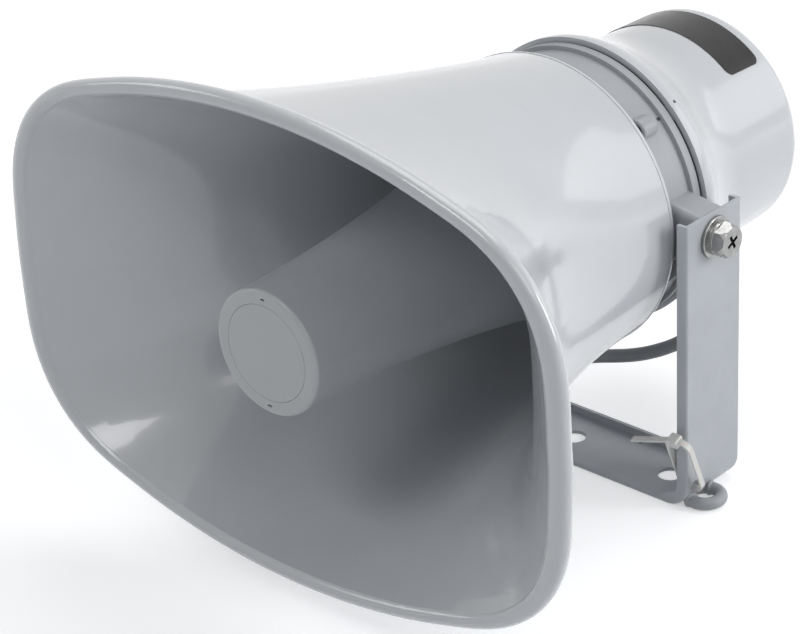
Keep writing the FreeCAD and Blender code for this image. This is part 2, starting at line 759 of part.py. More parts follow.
def make_rear_cover():
    """Hollow cover with inner screw bosses, a drain hole and the boss for the gland."""
    start = cover_start()
    skin = cover_body(0)
    shell = skin.cut(cover_body(COVER_WALL))
    column = rod(GLAND_BOSS_RADIUS, PIVOT_HEIGHT - GLAND_SEAT_HEIGHT, gland_seat(), V(0, 0, 1))
    low_edge = [e for e in column.Edges if abs(e.CenterOfMass.z - GLAND_SEAT_HEIGHT) < 0.01]
    column = column.makeFillet(1.0, low_edge).cut(cover_body(COVER_WALL))
    column = max(column.Solids, key=lambda solid: -solid.CenterOfMass.z)
    bosses = [column]
    pilots = []
    for angle in boss_angles():
        foot = polar(BOSS_CENTRE_RADIUS, angle, start)
        bosses.append(rod(COVER_BOSS_RADIUS, COVER_BOSS_LENGTH, foot, ALONG).common(skin))
        pilots.append(rod(COVER_SCREW_SHANK, COVER_BOSS_LENGTH - COVER_PILOT_FLOOR, foot, ALONG))
    slant = math.radians(DRAIN_ANGLE)
    drain_foot = polar(COVER_FLANGE_RADIUS - DRAIN_REACH / 2, DRAIN_ANGLE, start + DRAIN_SETBACK)
    drain = rod(DRAIN_RADIUS, DRAIN_REACH, drain_foot, V(math.sin(slant), 0, math.cos(slant)))
    gland_depth = PIVOT_HEIGHT - GLAND_SEAT_HEIGHT
    gland_hole = rod(GLAND_HOLE_RADIUS, gland_depth, gland_seat() - V(0, 0, 1), V(0, 0, 1))
    whole = shell.fuse(bosses)
    for cutter in pilots + [drain, gland_hole]:
        whole = whole.cut(cutter)
    return whole.removeSplitter()


def make_cover_gasket():
    whole = ring(COLLAR_RADIUS - COLLAR_WALL, GASKET_RADIUS, gasket_start(), GASKET_THICKNESS)
    holes = []
    for angle in boss_angles():
        foot = polar(BOSS_CENTRE_RADIUS, angle, gasket_start() - 1)
        holes.append(rod(COVER_SCREW_SHANK + SCREW_CLEARANCE, GASKET_THICKNESS + 2, foot, ALONG))
    return whole.cut(holes)


def make_label():
    """Thin blank sheet on top of the cover, with rounded corners."""
    start = cover_end() - LABEL_SETBACK
    end = start + LABEL_LENGTH
    near = neck_radius(start) + LABEL_GLUE
    far = neck_radius(end) + LABEL_GLUE
    sheet = turned([(near, start), (near + LABEL_THICKNESS, start),
                    (far + LABEL_THICKNESS, end), (far, end)])
    half = far * math.sin(math.radians(LABEL_HALF_ANGLE))
    blank = Part.makeBox(2 * half, LABEL_LENGTH, COVER_FLANGE_RADIUS,
                         V(-half, horn_y(start), PIVOT_HEIGHT + 10))
    upright = [e for e in blank.Edges if abs(e.tangentAt(e.FirstParameter).z) > 0.9]
    return sheet.common(blank.makeFillet(LABEL_CORNER, upright))


# Screws


def screw(head_radius, head, shank, length, base, direction):
    """Pan-head screw; base is the seat under its head and direction points along its shank."""
    cap = rod(head_radius, head, base - direction * head, direction)
    top = [e for e in cap.Edges if abs((e.CenterOfMass - base).dot(direction) + head) < 0.01]
    cap = cap.makeFillet(head * 0.45, top)
    return cap.fuse(rod(shank, length, base, direction)).removeSplitter()


def make_cover_screws():
    seat = BOSS_START + BOSS_HEAD_POCKET + COVER_SCREW_HEAD
    length = cover_start() + COVER_BOSS_LENGTH - COVER_SCREW_END_GAP - seat
    screws = []
    for angle in boss_angles():
        base = polar(BOSS_CENTRE_RADIUS, angle, seat)
        screws.append(
            screw(COVER_SCREW_HEAD_RADIUS, COVER_SCREW_HEAD, COVER_SCREW_SHANK, length, base, ALONG))
    return group(screws)


def driver_screw_angles():
    return [0, 90, 180, 270]


def make_driver_screws():
    seat = plate_start() + PLATE_THICKNESS
    length = seat - web_start() - SCREW_END_GAP
    screws = []
    for angle in driver_screw_angles():
        base = polar(DRIVER_SCREW_CIRCLE, angle, seat)
        screws.append(
            screw(DRIVER_SCREW_HEAD_RADIUS, DRIVER_SCREW_HEAD, DRIVER_SCREW_SHANK, length, base, -ALONG))
    return group(screws)


# Driver


def clamp_start():
    return web_end() + GASKET_DRIVER


def surround_start():
    return clamp_start() + CLAMP_RING_THICKNESS


def plate_start():
    return surround_start() + SURROUND_THICKNESS


def magnet_start():
    return plate_start() + PLATE_THICKNESS


def yoke_start():
    return magnet_start() + MAGNET_THICKNESS


def yoke_end():
    return yoke_start() + YOKE_THICKNESS


def coil_outer():
    return COIL_INNER + COIL_WALL


def coil_start():
    return plate_start() - COIL_STANDOFF


def make_driver_gasket():
    return ring(CLAMP_RING_INNER, CLAMP_RING_OUTER, web_end(), GASKET_DRIVER)


def make_phase_plug():
    """Bullet held by spokes in a thin ring that sits in the throat hole."""
    back = web_start() + PLUG_RING_THICKNESS
    hoop = ring(THROAT_RADIUS - PLUG_RING_WALL, THROAT_RADIUS, web_start(), PLUG_RING_THICKNESS)
    bullet = turned([(0, back), (PLUG_RADIUS, back), (PLUG_RADIUS, back - 3), (PLUG_RADIUS * 0.6, back - 7),
                     (0, back - PLUG_NOSE)])
    spokes = []
    for k in range(SPOKE_COUNT):
        spoke = box_between(
            (-SPOKE_THICKNESS / 2, horn_y(web_start()), PIVOT_HEIGHT + 1),
            (SPOKE_THICKNESS / 2, horn_y(back), PIVOT_HEIGHT + THROAT_RADIUS - PLUG_RING_WALL / 2),
        )
        spoke.rotate(AXIS_POINT, ALONG, 360 * k / SPOKE_COUNT)
        spokes.append(spoke)
    return fuse([hoop, bullet] + spokes)


def make_diaphragm_ring():
    return ring(CLAMP_RING_INNER, CLAMP_RING_OUTER, clamp_start(), CLAMP_RING_THICKNESS)


def make_surround():
    """Flexible edge: flat outer hem and one half roll, bowed towards the throat."""
    start = surround_start()
    end = start + SURROUND_THICKNESS
    hem = CLAMP_RING_INNER
    middle = (SURROUND_INNER + hem) / 2
    roll = SURROUND_ROLL
    return turned_edges([
        arc(on_plane(SURROUND_INNER, start), on_plane(middle, start - roll), on_plane(hem, start)),
        line(on_plane(hem, start), on_plane(SURROUND_OUTER, start)),
        line(on_plane(SURROUND_OUTER, start), on_plane(SURROUND_OUTER, end)),
        line(on_plane(SURROUND_OUTER, end), on_plane(hem, end)),
        arc(on_plane(hem, end), on_plane(middle, end - roll), on_plane(SURROUND_INNER, end)),
        line(on_plane(SURROUND_INNER, end), on_plane(SURROUND_INNER, start)),
    ])


def make_front_plate():
    whole = ring(PLATE_BORE, PLATE_RADIUS, plate_start(), PLATE_THICKNESS)
    holes = [rod(DRIVER_SCREW_SHANK + SCREW_CLEARANCE, PLATE_THICKNESS + 2,
                 polar(DRIVER_SCREW_CIRCLE, a, plate_start() - 1), ALONG) for a in driver_screw_angles()]
    return whole.cut(holes)


def make_ring_magnet():
    return ring(MAGNET_BORE, MAGNET_RADIUS, magnet_start(), MAGNET_THICKNESS)


def make_yoke():
    """Back plate and pole in one piece, with a vent through the pole."""
    plate = disc(YOKE_RADIUS, yoke_start(), YOKE_THICKNESS)
    rear = [e for e in plate.Edges if abs(e.CenterOfMass.y - horn_y(yoke_end())) < 0.01]
    plate = plate.makeChamfer(1.5, rear)
    pole_start = plate_start() + POLE_SETBACK
    pole = disc(POLE_RADIUS, pole_start, yoke_start() - pole_start + 1)
    holes = []
    for side in (1, -1):
        foot = V(side * frame_screw_x(), horn_y(yoke_end()) - 4, PIVOT_HEIGHT)
        holes.append(rod(FRAME_SCREW_SHANK, 6, foot, ALONG))
    return fuse([plate, pole]).cut(holes)


def dome_shell(inset):
    """Ball whose cap is the dome's outer or inner face."""
    base = coil_outer()
    ball = (base ** 2 + DOME_HEIGHT ** 2) / (2 * DOME_HEIGHT)
    centre = coil_start() - DOME_HEIGHT + ball
    return Part.makeSphere(ball - inset, V(0, horn_y(centre), PIVOT_HEIGHT))


def make_diaphragm_dome():
    """Thin cap bowed towards the throat, with the flat rim that the coil is glued to."""
    start = coil_start() - DOME_HEIGHT - 1
    cap = dome_shell(0).cut(dome_shell(DOME_THICKNESS))
    keep = disc(coil_outer(), start, coil_start() - start)
    rim = ring(COIL_INNER, coil_outer(), coil_start() - DOME_THICKNESS, DOME_THICKNESS)
    return cap.common(keep).fuse(rim).removeSplitter()


def make_voice_coil():
    return ring(COIL_INNER, coil_outer(), coil_start(), COIL_LENGTH)


# Line transformer


def core_start():
    return yoke_end() + CORE_STANDOFF


def core_end():
    return core_start() + CORE_STACK


def window_width():
    return (CORE_WIDTH - 2 * CORE_BACK - LIMB_WIDTH) / 2


def make_transformer_core():
    """Stack of laminations with two windows beside the middle limb."""
    y0, y1 = horn_y(core_start()), horn_y(core_end())
    whole = box_between((-CORE_WIDTH / 2, y0, PIVOT_HEIGHT - CORE_HEIGHT / 2),
                        (CORE_WIDTH / 2, y1, PIVOT_HEIGHT + CORE_HEIGHT / 2))
    half_window = CORE_HEIGHT / 2 - CORE_BACK
    windows = []
    for side in (1, -1):
        near = LIMB_WIDTH / 2
        far = near + window_width()
        low, high = sorted((side * near, side * far))
        windows.append(box_between((low, y0 - 1, PIVOT_HEIGHT - half_window),
                                   (high, y1 + 1, PIVOT_HEIGHT + half_window)))
    return whole.cut(windows)


def make_transformer_winding():
    """Bobbin and winding round the middle limb."""
    gap = WINDING_CLEARANCE
    wide = LIMB_WIDTH / 2 + window_width() - gap
    high = CORE_HEIGHT / 2 - CORE_BACK - gap
    y0, y1 = horn_y(core_start()), horn_y(core_end())
    z = PIVOT_HEIGHT
    outer = box_between((-wide, y0 - WINDING_WALL, z - high), (wide, y1 + WINDING_WALL, z + high))
    upright = [e for e in outer.Edges if abs(e.tangentAt(e.FirstParameter).z) > 0.9]
    outer = outer.makeFillet(4, upright)
    inner = box_between((-LIMB_WIDTH / 2, y0, z - high - 1), (LIMB_WIDTH / 2, y1, z + high + 1))
    return outer.cut(inner)


def frame_screw_x():
    return CORE_WIDTH / 2 + FRAME_SHEET + FRAME_FOOT / 2


def make_transformer_frame():
    """Folded sheet over the core: top with a window for the winding, two legs, two feet."""
    half = CORE_WIDTH / 2
    wide = FRAME_WIDTH / 2
    y_foot, y_top = horn_y(yoke_end()), horn_y(core_end())
    sheet = FRAME_SHEET
    z = PIVOT_HEIGHT
    top = box_between((-half - sheet, y_top, z - wide), (half + sheet, y_top + sheet, z + wide))
    room = LIMB_WIDTH / 2 + window_width() + 0.5
    tall = CORE_HEIGHT / 2 - CORE_BACK + 0.3
    window = box_between((-room, y_top - 1, z - tall), (room, y_top + sheet + 1, z + tall))
    pieces = [top.cut(window)]
    holes = []
    for side in (1, -1):
        low, high = sorted((side * half, side * (half + sheet)))
        pieces.append(box_between((low, y_foot, z - wide), (high, y_top + sheet, z + wide)))
        low, high = sorted((side * half, side * (half + sheet + FRAME_FOOT)))
        pieces.append(box_between((low, y_foot, z - 6), (high, y_foot + sheet, z + 6)))
        foot = V(side * frame_screw_x(), y_foot - 1, z)
        holes.append(rod(FRAME_SCREW_SHANK + SCREW_CLEARANCE, 6, foot, ALONG))
    return fuse(pieces).cut(holes)


def make_frame_screws():
    seat = horn_y(yoke_end()) + FRAME_SHEET
    return group([screw(FRAME_SCREW_HEAD_RADIUS, FRAME_SCREW_HEAD, FRAME_SCREW_SHANK, FRAME_SHEET + 3.5,
                        V(side * frame_screw_x(), seat, PIVOT_HEIGHT), V(0, -1, 0)) for side in (1, -1)])


def make_terminal_strip():
    """Insulating strip on the back of the yoke with two soldering tags."""
    z = PIVOT_HEIGHT - STRIP_DROP
    y = horn_y(yoke_end())
    pieces = [box_between((-STRIP_LENGTH / 2, y, z - STRIP_WIDTH / 2),
                          (STRIP_LENGTH / 2, y + STRIP_THICKNESS, z + STRIP_WIDTH / 2))]
    for side in (1, -1):
        x = side * TAG_SPACING / 2
        tag_start = y + STRIP_THICKNESS
        pieces.append(box_between((x - TAG_WIDTH / 2, tag_start, z - TAG_THICKNESS / 2),
                                  (x + TAG_WIDTH / 2, tag_start + TAG_LENGTH, z + TAG_THICKNESS / 2)))
    return fuse(pieces)


def make_lead_wires():
    """Two short leads from the tags up to the winding."""
    y = horn_y(yoke_end()) + STRIP_THICKNESS + TAG_LENGTH
    z_tag = PIVOT_HEIGHT - STRIP_DROP
    high = CORE_HEIGHT / 2 - CORE_BACK - WINDING_CLEARANCE
    z_top = PIVOT_HEIGHT - high
    y_top = horn_y(core_end()) + WINDING_WALL / 2
    leads = []
    for side in (1, -1):
        x = side * TAG_SPACING / 2
        route = [V(x, y, z_tag), V(x, y_top - 4, z_tag), V(x, y_top, z_tag + 4), V(x, y_top, z_top)]
        leads.append(tube(route, WIRE_RADIUS)[0])
    return group(leads)


# Cord


def rounded_path(points):
    """Straight runs joined by tangent arcs, each as large as its two runs allow."""
    edges = []
    radii = []
    start = points[0]
    for k in range(1, len(points) - 1):
        back = points[k - 1] - points[k]
        ahead = points[k + 1] - points[k]
        shorter = min(back.Length, ahead.Length)
        back.normalize()
        ahead.normalize()
        turn = math.pi - back.getAngle(ahead)
        trim = 0.45 * shorter
        radius = trim / math.tan(turn / 2)
        radii.append(radius)
        first = points[k] + back * trim
        last = points[k] + ahead * trim
        inward = back + ahead
        inward.normalize()
        centre = points[k] + inward * (radius / math.cos(turn / 2))
        middle = centre - inward * radius
        edges.append(line(start, first))
        edges.append(arc(first, middle, last))
        start = last
    edges.append(line(start, points[-1]))
    return Part.Wire(edges), radii


def tube(points, radius):
    """Round tube along a route, with the arc radii used."""
    path, radii = rounded_path(points)
    first = path.Edges[0]
    tangent = first.tangentAt(first.FirstParameter)
    section = Part.Wire([Part.Circle(points[0], tangent, radius).toShape()])
    return path.makePipeShell([section], True, False), radii


def gland_exit():
    return gland_seat() - V(0, 0, GLAND_FLANGE + GLAND_LENGTH)


def make_cable_gland():
    """Rubber gland: stem in the boss, flange on its seat and a tapered strain relief."""
    down = V(0, 0, -1)
    seat = gland_seat()
    stem = rod(GLAND_HOLE_RADIUS, GLAND_STEM, seat - down * GLAND_STEM, down)
    flange = rod(GLAND_FLANGE_RADIUS, GLAND_FLANGE, seat, down)
    relief_top = seat + down * GLAND_FLANGE
    relief = Part.makeCone(GLAND_TOP_RADIUS, GLAND_TIP_RADIUS, GLAND_LENGTH, relief_top, down)
    return fuse([stem, flange, relief])


def cable_points():
    leaving = [gland_exit(), gland_exit() - V(0, 0, CABLE_FIRST_DROP)]
    return leaving + [V(*p) for p in CABLE_ROUTE]


def make_cable():
    body, radii = tube(cable_points(), CABLE_DIAMETER / 2)
    section = math.pi * CABLE_DIAMETER ** 2 / 4
    length = rounded_path(cable_points())[0].Length
    print("cable length", round(length, 1), "volume ratio", round(body.Volume / (section * length), 4))
    print("cable radii", [round(r, 1) for r in radii])
    return body


def make_cable_cores():
    """Two insulated cores with stripped ends, straight out of the cable's end."""
    points = cable_points()
    end = points[-1]
    direction = end - points[-2]
    direction.normalize()
    sideways = V(direction.y, -direction.x, 0)
    sideways.normalize()
    pieces = []
    for side in (1, -1):
        base = end + sideways * (side * CORE_RADIUS * 1.3)
        insulated = rod(CORE_RADIUS, CORE_LENGTH - CORE_BARE_LENGTH, base, direction)
        strip = base + direction * (CORE_LENGTH - CORE_BARE_LENGTH)
        bare = rod(CORE_BARE_RADIUS, CORE_BARE_LENGTH, strip, direction)
        pieces.append(insulated.fuse(bare))
    return group(pieces)


# Bracket


def strap_outline(inset, top):
    """U-shaped line of the strap seen from the front, moved inwards by inset, closed on top."""
    x = ARM_OUTER - inset
    bend = BEND_RADIUS - inset
    corner = bend * math.sqrt(0.5)
    cx, cz = ARM_OUTER - BEND_RADIUS, BEND_RADIUS
    return [
        line(V(-x, 0, top), V(-x, 0, cz)),
        arc(V(-x, 0, cz), V(-cx - corner, 0, cz - corner), V(-cx, 0, inset)),
        line(V(-cx, 0, inset), V(cx, 0, inset)),
        arc(V(cx, 0, inset), V(cx + corner, 0, cz - corner), V(x, 0, cz)),
        line(V(x, 0, cz), V(x, 0, top)),
        line(V(x, 0, top), V(-x, 0, top)),
    ]


def strap_block(inset, top, half_width):
    """Solid between the two arms down to one skin of the strap."""
    face = Part.Face(Part.Wire(strap_outline(inset, top)))
    face.translate(V(0, -half_width, 0))
    return face.extrude(V(0, 2 * half_width, 0))


def make_bracket():
    """Pressed channel bent to a U: floor and arms with short flanges turned inwards."""
    top = PIVOT_HEIGHT + ARM_ABOVE_PIVOT
    half = STRAP_WIDTH / 2
    outer = strap_block(0, top, half)
    inner_long = half + 1
    channel = outer.cut(strap_block(SHEET, top + 1, half - SHEET))
    strap = channel.cut(strap_block(FLANGE_DEPTH, top + 1, inner_long))
    long_edges = [e for e in strap.Edges if outer_skin_edge(e)]
    strap = strap.makeFillet(SHEET * 0.7, long_edges)
    pivot_start = V(-ARM_OUTER - 2, 0, PIVOT_HEIGHT)
    holes = [rod(BOLT_RADIUS + PIVOT_CLEARANCE, 2 * ARM_OUTER + 4, pivot_start, V(1, 0, 0))]
    for k in range(MOUNT_HOLE_COUNT):
        x = (k - (MOUNT_HOLE_COUNT - 1) / 2) * MOUNT_HOLE_PITCH
        holes.append(rod(MOUNT_HOLE_RADIUS, 10, V(x, 0, -2), V(0, 0, 1)))
    tie_start = V(ARM_OUTER - 6, tie_hole_y(), TIE_HOLE_HEIGHT + 2)
    holes.append(rod(TIE_HOLE_RADIUS, 12, tie_start, V(1, 0, -0.35)))
    holes.append(rod(DRAIN_HOLE_RADIUS, 10, V(DRAIN_HOLE_X, half - DRAIN_HOLE_SETBACK, -2), V(0, 0, 1)))
    return strap.cut(holes + [foot_lip_cutter()]).removeSplitter()


def foot_lip_cutter():
    """Wedge-ended block that leaves only a low front lip across the foot."""
    half = STRAP_WIDTH / 2
    low = FOOT_LIP_HEIGHT
    high = FLANGE_DEPTH + 1
    reach = ARM_OUTER - BEND_RADIUS - FOOT_LIP_INSET
    rise = high - low
    spots = [V(-reach, -half - 1, low), V(reach, -half - 1, low), V(reach + rise, -half - 1, high),
             V(-reach - rise, -half - 1, high)]
    face = Part.Face(Part.makePolygon(spots + spots[:1]))
    return face.extrude(V(0, SHEET + 2, 0))


def outer_skin_edge(edge):
    """True for the long edges where the strap's outer skin meets its front and rear sides."""
    middle = edge.valueAt((edge.FirstParameter + edge.LastParameter) / 2)
    half = STRAP_WIDTH / 2
    if abs(abs(middle.y) - half) > 0.01:
        return False
    if middle.z > PIVOT_HEIGHT + ARM_ABOVE_PIVOT - 0.01:
        return False
    on_floor = abs(middle.z) < 0.01
    on_arm = abs(abs(middle.x) - ARM_OUTER) < 0.01
    from_bend = math.hypot(abs(middle.x) - ARM_OUTER + BEND_RADIUS, middle.z - BEND_RADIUS)
    return on_floor or on_arm or abs(from_bend - BEND_RADIUS) < 0.01


def tie_hole_y():
    return -STRAP_WIDTH / 2 + TIE_HOLE_SETBACK


def make_safety_eye():
    """Steel ring welded to the lower right bend."""
    centre = V(EYE_X, EYE_Y, EYE_FLOOR + EYE_WIRE_RADIUS)
    ring_body = Part.makeTorus(EYE_RING_RADIUS, EYE_WIRE_RADIUS, centre)
    return ring_body.cut(strap_block(0, PIVOT_HEIGHT, STRAP_WIDTH / 2))


def make_cable_tie():
    """Flat band as a closed loop through the tie hole and round the arm's front edge, head and tail."""
    half = TIE_WIDTH / 2
    hole_z = TIE_HOLE_HEIGHT
    tall = TIE_LOOP_HEIGHT

    def loop(inset):
        low, high = -TIE_THICKNESS + inset, tall - inset
        left, right = TIE_INNER_X + inset, TIE_OUTER_X - inset
        solid = Part.makeBox(right - left, TIE_WIDTH, high - low, V(left, -half, low))
        across = [e for e in solid.Edges if abs(e.tangentAt(e.FirstParameter).y) > 0.9]
        return solid.makeFillet(TIE_CORNER - inset, across)

    band = loop(0).cut(loop(TIE_THICKNESS))
    head_x = TIE_INNER_X + TIE_HEAD_OFFSET
    head_middle = tall - TIE_THICKNESS
    head = box_between((head_x - TIE_HEAD / 2, -TIE_HEAD / 2, head_middle - TIE_HEAD_DEPTH / 2),
                       (head_x + TIE_HEAD / 2, TIE_HEAD / 2, head_middle + TIE_HEAD_DEPTH / 2))
    head = head.makeFillet(0.6, head.Edges)
    tail = Part.makeBox(TIE_TAIL_LENGTH, TIE_WIDTH, TIE_THICKNESS, V(-TIE_TAIL_LENGTH, -half, 0))
    tail.rotate(V(0, 0, 0), V(0, 1, 0), -TIE_TAIL_DROOP)
    tail.translate(V(head_x, 0, tall - TIE_THICKNESS))
    whole = fuse([band, head, tail])
    whole.rotate(V(0, 0, 0), V(1, 0, 0), TIE_LEAN)
    whole.translate(V(0, tie_hole_y(), hole_z))
    return whole


# Pivot bolts and washers


def washer_start():
    return ARM_OUTER


def spring_start():
    return washer_start() + FLAT_WASHER


def head_start():
    return spring_start() + SPRING_WASHER


def make_flat_washer():
    outer = rod(FLAT_WASHER_RADIUS, FLAT_WASHER, V(washer_start(), 0, PIVOT_HEIGHT), V(1, 0, 0))
    rim = [e for e in outer.Edges if abs(e.CenterOfMass.x - spring_start()) < 0.01]
    outer = outer.makeFillet(0.4, rim)
    bore_start = V(washer_start() - 1, 0, PIVOT_HEIGHT)
    bore = rod(BOLT_RADIUS + WASHER_BORE_CLEARANCE, FLAT_WASHER + 2, bore_start, V(1, 0, 0))
    return outer.cut(bore)


def make_spring_washer():
    """Split ring with a slanting gap."""
    outer = rod(SPRING_WASHER_RADIUS, SPRING_WASHER, V(spring_start(), 0, PIVOT_HEIGHT), V(1, 0, 0))
    bore_start = V(spring_start() - 1, 0, PIVOT_HEIGHT)
    bore = rod(BOLT_RADIUS + WASHER_BORE_CLEARANCE, SPRING_WASHER + 2, bore_start, V(1, 0, 0))
    gap = box_between((spring_start() - 2, -SPRING_WASHER_GAP / 2, PIVOT_HEIGHT),
                      (head_start() + 2, SPRING_WASHER_GAP / 2, PIVOT_HEIGHT + SPRING_WASHER_RADIUS + 1))
    gap.rotate(V((spring_start() + head_start()) / 2, 0, PIVOT_HEIGHT), V(0, 0, 1), 30)
    gap.rotate(AXIS_POINT, V(1, 0, 0), -60)
    return outer.cut([bore, gap])


def make_pivot_bolt():
    """Hex-head bolt with a cross recess and a chamfered face."""
    start = head_start()
    flat = HEX_ACROSS_FLATS / 2
    corner = flat / math.cos(math.pi / 6)
    spots = []
    for k in range(6):
        a = math.radians(60 * k + 18)
        spots.append(V(start, corner * math.cos(a), PIVOT_HEIGHT + corner * math.sin(a)))
    head = Part.Face(Part.makePolygon(spots + spots[:1])).extrude(V(HEX_HEIGHT, 0, 0))
    cone_height = corner + HEX_HEIGHT
    cone_foot = V(start + HEX_HEIGHT - cone_height, 0, PIVOT_HEIGHT)
    crown = Part.makeCone(corner + HEX_HEIGHT, flat - HEX_CROWN_INSET, cone_height, cone_foot, V(1, 0, 0))
    head = head.common(crown)
    arms = []
    for turn in (27, 117):
        face = start + HEX_HEIGHT
        slot = box_between((face - RECESS_DEPTH, -RECESS_LENGTH / 2, PIVOT_HEIGHT - RECESS_WIDTH / 2),
                           (face + 1, RECESS_LENGTH / 2, PIVOT_HEIGHT + RECESS_WIDTH / 2))
        slot.rotate(AXIS_POINT, V(1, 0, 0), turn)
        arms.append(slot)
    shank = rod(BOLT_RADIUS, BOLT_LENGTH, V(start, 0, PIVOT_HEIGHT), V(-1, 0, 0))
    return head.cut(fuse(arms)).fuse(shank).removeSplitter()


# Build


def build_all():
    right_only = {
        "pivot_bolt": make_pivot_bolt(),
        "flat_washer": make_flat_washer(),
        "spring_washer": make_spring_washer(),
        "lug_insert": make_insert(),
    }
    nodes = {
        "bracket": make_bracket(),
        "safety_eye": make_safety_eye(),
        "cable_tie": make_cable_tie(),
        "flare": make_flare(),
        "reflector": make_reflector(),
        "badge_disc": make_badge_disc(),
        "throat_tube": make_throat_tube(),
        "mount_collar": make_mount_collar(),
        "cover_gasket": make_cover_gasket(),
        "rear_cover": make_rear_cover(),
        "cover_label": make_label(),
        "cover_screws": make_cover_screws(),
        "driver_gasket": make_driver_gasket(),
        "phase_plug": make_phase_plug(),
        "diaphragm_ring": make_diaphragm_ring(),
        "diaphragm_surround": make_surround(),
        "diaphragm_dome": make_diaphragm_dome(),
        "voice_coil": make_voice_coil(),
        "front_plate": make_front_plate(),
        "ring_magnet": make_ring_magnet(),
        "magnet_yoke": make_yoke(),
        "driver_screws": make_driver_screws(),
        "terminal_strip": make_terminal_strip(),
        "transformer_core": make_transformer_core(),
        "transformer_winding": make_transformer_winding(),
        "transformer_frame": make_transformer_frame(),
        "frame_screws": make_frame_screws(),
        "lead_wires": make_lead_wires(),
        "cable_gland": make_cable_gland(),
        "cable": make_cable(),
        "cable_cores": make_cable_cores(),
    }
    for name, shape in right_only.items():
        nodes[name + "_right"] = shape
        nodes[name + "_left"] = mirrored(shape)
    return nodes


def main():
    os.makedirs("parts", exist_ok=True)
    for name, shape in build_all().items():
        solids = len(shape.Solids)
        print(f"{name:22s} solids {solids} volume {shape.Volume / 1000:9.3f} cm3 valid {shape.isValid()}")
        shape.exportStep(os.path.join("parts", name + ".step"))


main()
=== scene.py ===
"""Finish, cable, light and camera for a wide-mouth paging horn on its bracket.

The smooth mouldings keep their own meshes and get a finish. Pressed and turned pieces are
copied, merged and given soft edges. The cable, its cores, its strain relief and the weld
beads at the safety ring are modelled here. Sizes are metres, unless a name ends in _mm,
and angles are degrees.
"""

import json
import logging
import math
from dataclasses import dataclass, field
from enum import Enum

import bpy
from mathutils import Matrix, Vector

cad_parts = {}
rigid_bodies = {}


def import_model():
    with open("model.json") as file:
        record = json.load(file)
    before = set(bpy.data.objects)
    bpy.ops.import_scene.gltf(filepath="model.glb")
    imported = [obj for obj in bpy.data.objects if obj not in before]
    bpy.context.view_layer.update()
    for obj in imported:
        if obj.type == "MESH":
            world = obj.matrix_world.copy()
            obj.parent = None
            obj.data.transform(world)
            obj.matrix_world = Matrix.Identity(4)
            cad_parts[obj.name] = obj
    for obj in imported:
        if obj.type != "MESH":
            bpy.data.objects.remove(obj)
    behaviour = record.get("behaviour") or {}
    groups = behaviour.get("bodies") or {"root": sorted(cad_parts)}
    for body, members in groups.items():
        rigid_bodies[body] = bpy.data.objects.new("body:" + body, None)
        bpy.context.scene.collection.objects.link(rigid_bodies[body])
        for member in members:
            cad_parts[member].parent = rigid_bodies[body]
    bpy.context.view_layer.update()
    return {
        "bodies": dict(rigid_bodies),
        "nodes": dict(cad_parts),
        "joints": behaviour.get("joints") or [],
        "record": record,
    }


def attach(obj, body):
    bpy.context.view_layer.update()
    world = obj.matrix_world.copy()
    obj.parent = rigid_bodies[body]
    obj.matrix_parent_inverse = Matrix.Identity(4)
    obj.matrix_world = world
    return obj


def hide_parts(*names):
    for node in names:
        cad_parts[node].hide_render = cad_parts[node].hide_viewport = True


log = logging.getLogger("paging_horn")

MM = 0.001

# Noise keeps to the middle of its range, so these spans stretch it.
MOTTLE_SPAN = (0.32, 0.68)
HAZE_SPAN = (0.3, 0.7)
# The haze in the gloss is finer than the mottling of the colour by this factor.
HAZE_SHARE = 0.6
LEAST_ROUGHNESS = 0.03
SCATTER_DEPTH = 2.0 * MM


class Body(Enum):
    """Rigid bodies that a new piece can ride on."""

    BRACKET = "bracket"
    HORN = "horn"


def linear(colour: str) -> tuple[float, float, float, float]:
    """Turn an sRGB hex colour into linear light.

    Args:
        colour: Six hex digits after a hash sign.

    Returns:
        Linear red, green, blue and full alpha.
    """
    parts = []
    for start in (1, 3, 5):
        value = int(colour[start:start + 2], 16) / 255.0
        parts.append(value / 12.92 if value <= 0.04045 else ((value + 0.055) / 1.055) ** 2.4)
    return (parts[0], parts[1], parts[2], 1.0)


def clear_tree(owner: bpy.types.ID) -> bpy.types.NodeTree:
    """Give a new material or world an empty node tree.

    Args:
        owner: The material or world.

    Returns:
        Its tree, with no node in it.
    """
    owner.use_nodes = True
    owner.node_tree.nodes.clear()
    return owner.node_tree


def add_node(tree: bpy.types.NodeTree, kind: str, inputs: dict,
             **settings: object) -> bpy.types.Node:
    """Add a node, set its properties, and fill or link its inputs.

    Args:
        tree: The node tree that gets the node.
        kind: Blender's class name of the node.
        inputs: Input name or number to a value, or to the socket that feeds it.
        settings: Properties of the node itself.

    Returns:
        The new node.
    """
    node = tree.nodes.new(kind)
    for name, value in settings.items():
        setattr(node, name, value)
    for name, value in inputs.items():
        if isinstance(value, bpy.types.NodeSocket):
            tree.links.new(value, node.inputs[name])
        else:
            node.inputs[name].default_value = value
    return node


def either(tree: bpy.types.NodeTree, first: bpy.types.NodeSocket,
           second: bpy.types.NodeSocket) -> bpy.types.NodeSocket:
    """Join two marks that are each 0 or 1.

    Args:
        tree: The node tree.
        first: One mark.
        second: The other mark.

    Returns:
        A socket that is 1 where one of them is 1.
    """
    larger = add_node(tree, "ShaderNodeMath", {0: first, 1: second}, operation="MAXIMUM")
    return larger.outputs["Value"]


def per_metre(size_mm: float) -> float:
    """Texture scale at which one feature is about size_mm wide."""
    return 1.0 / (size_mm * MM)


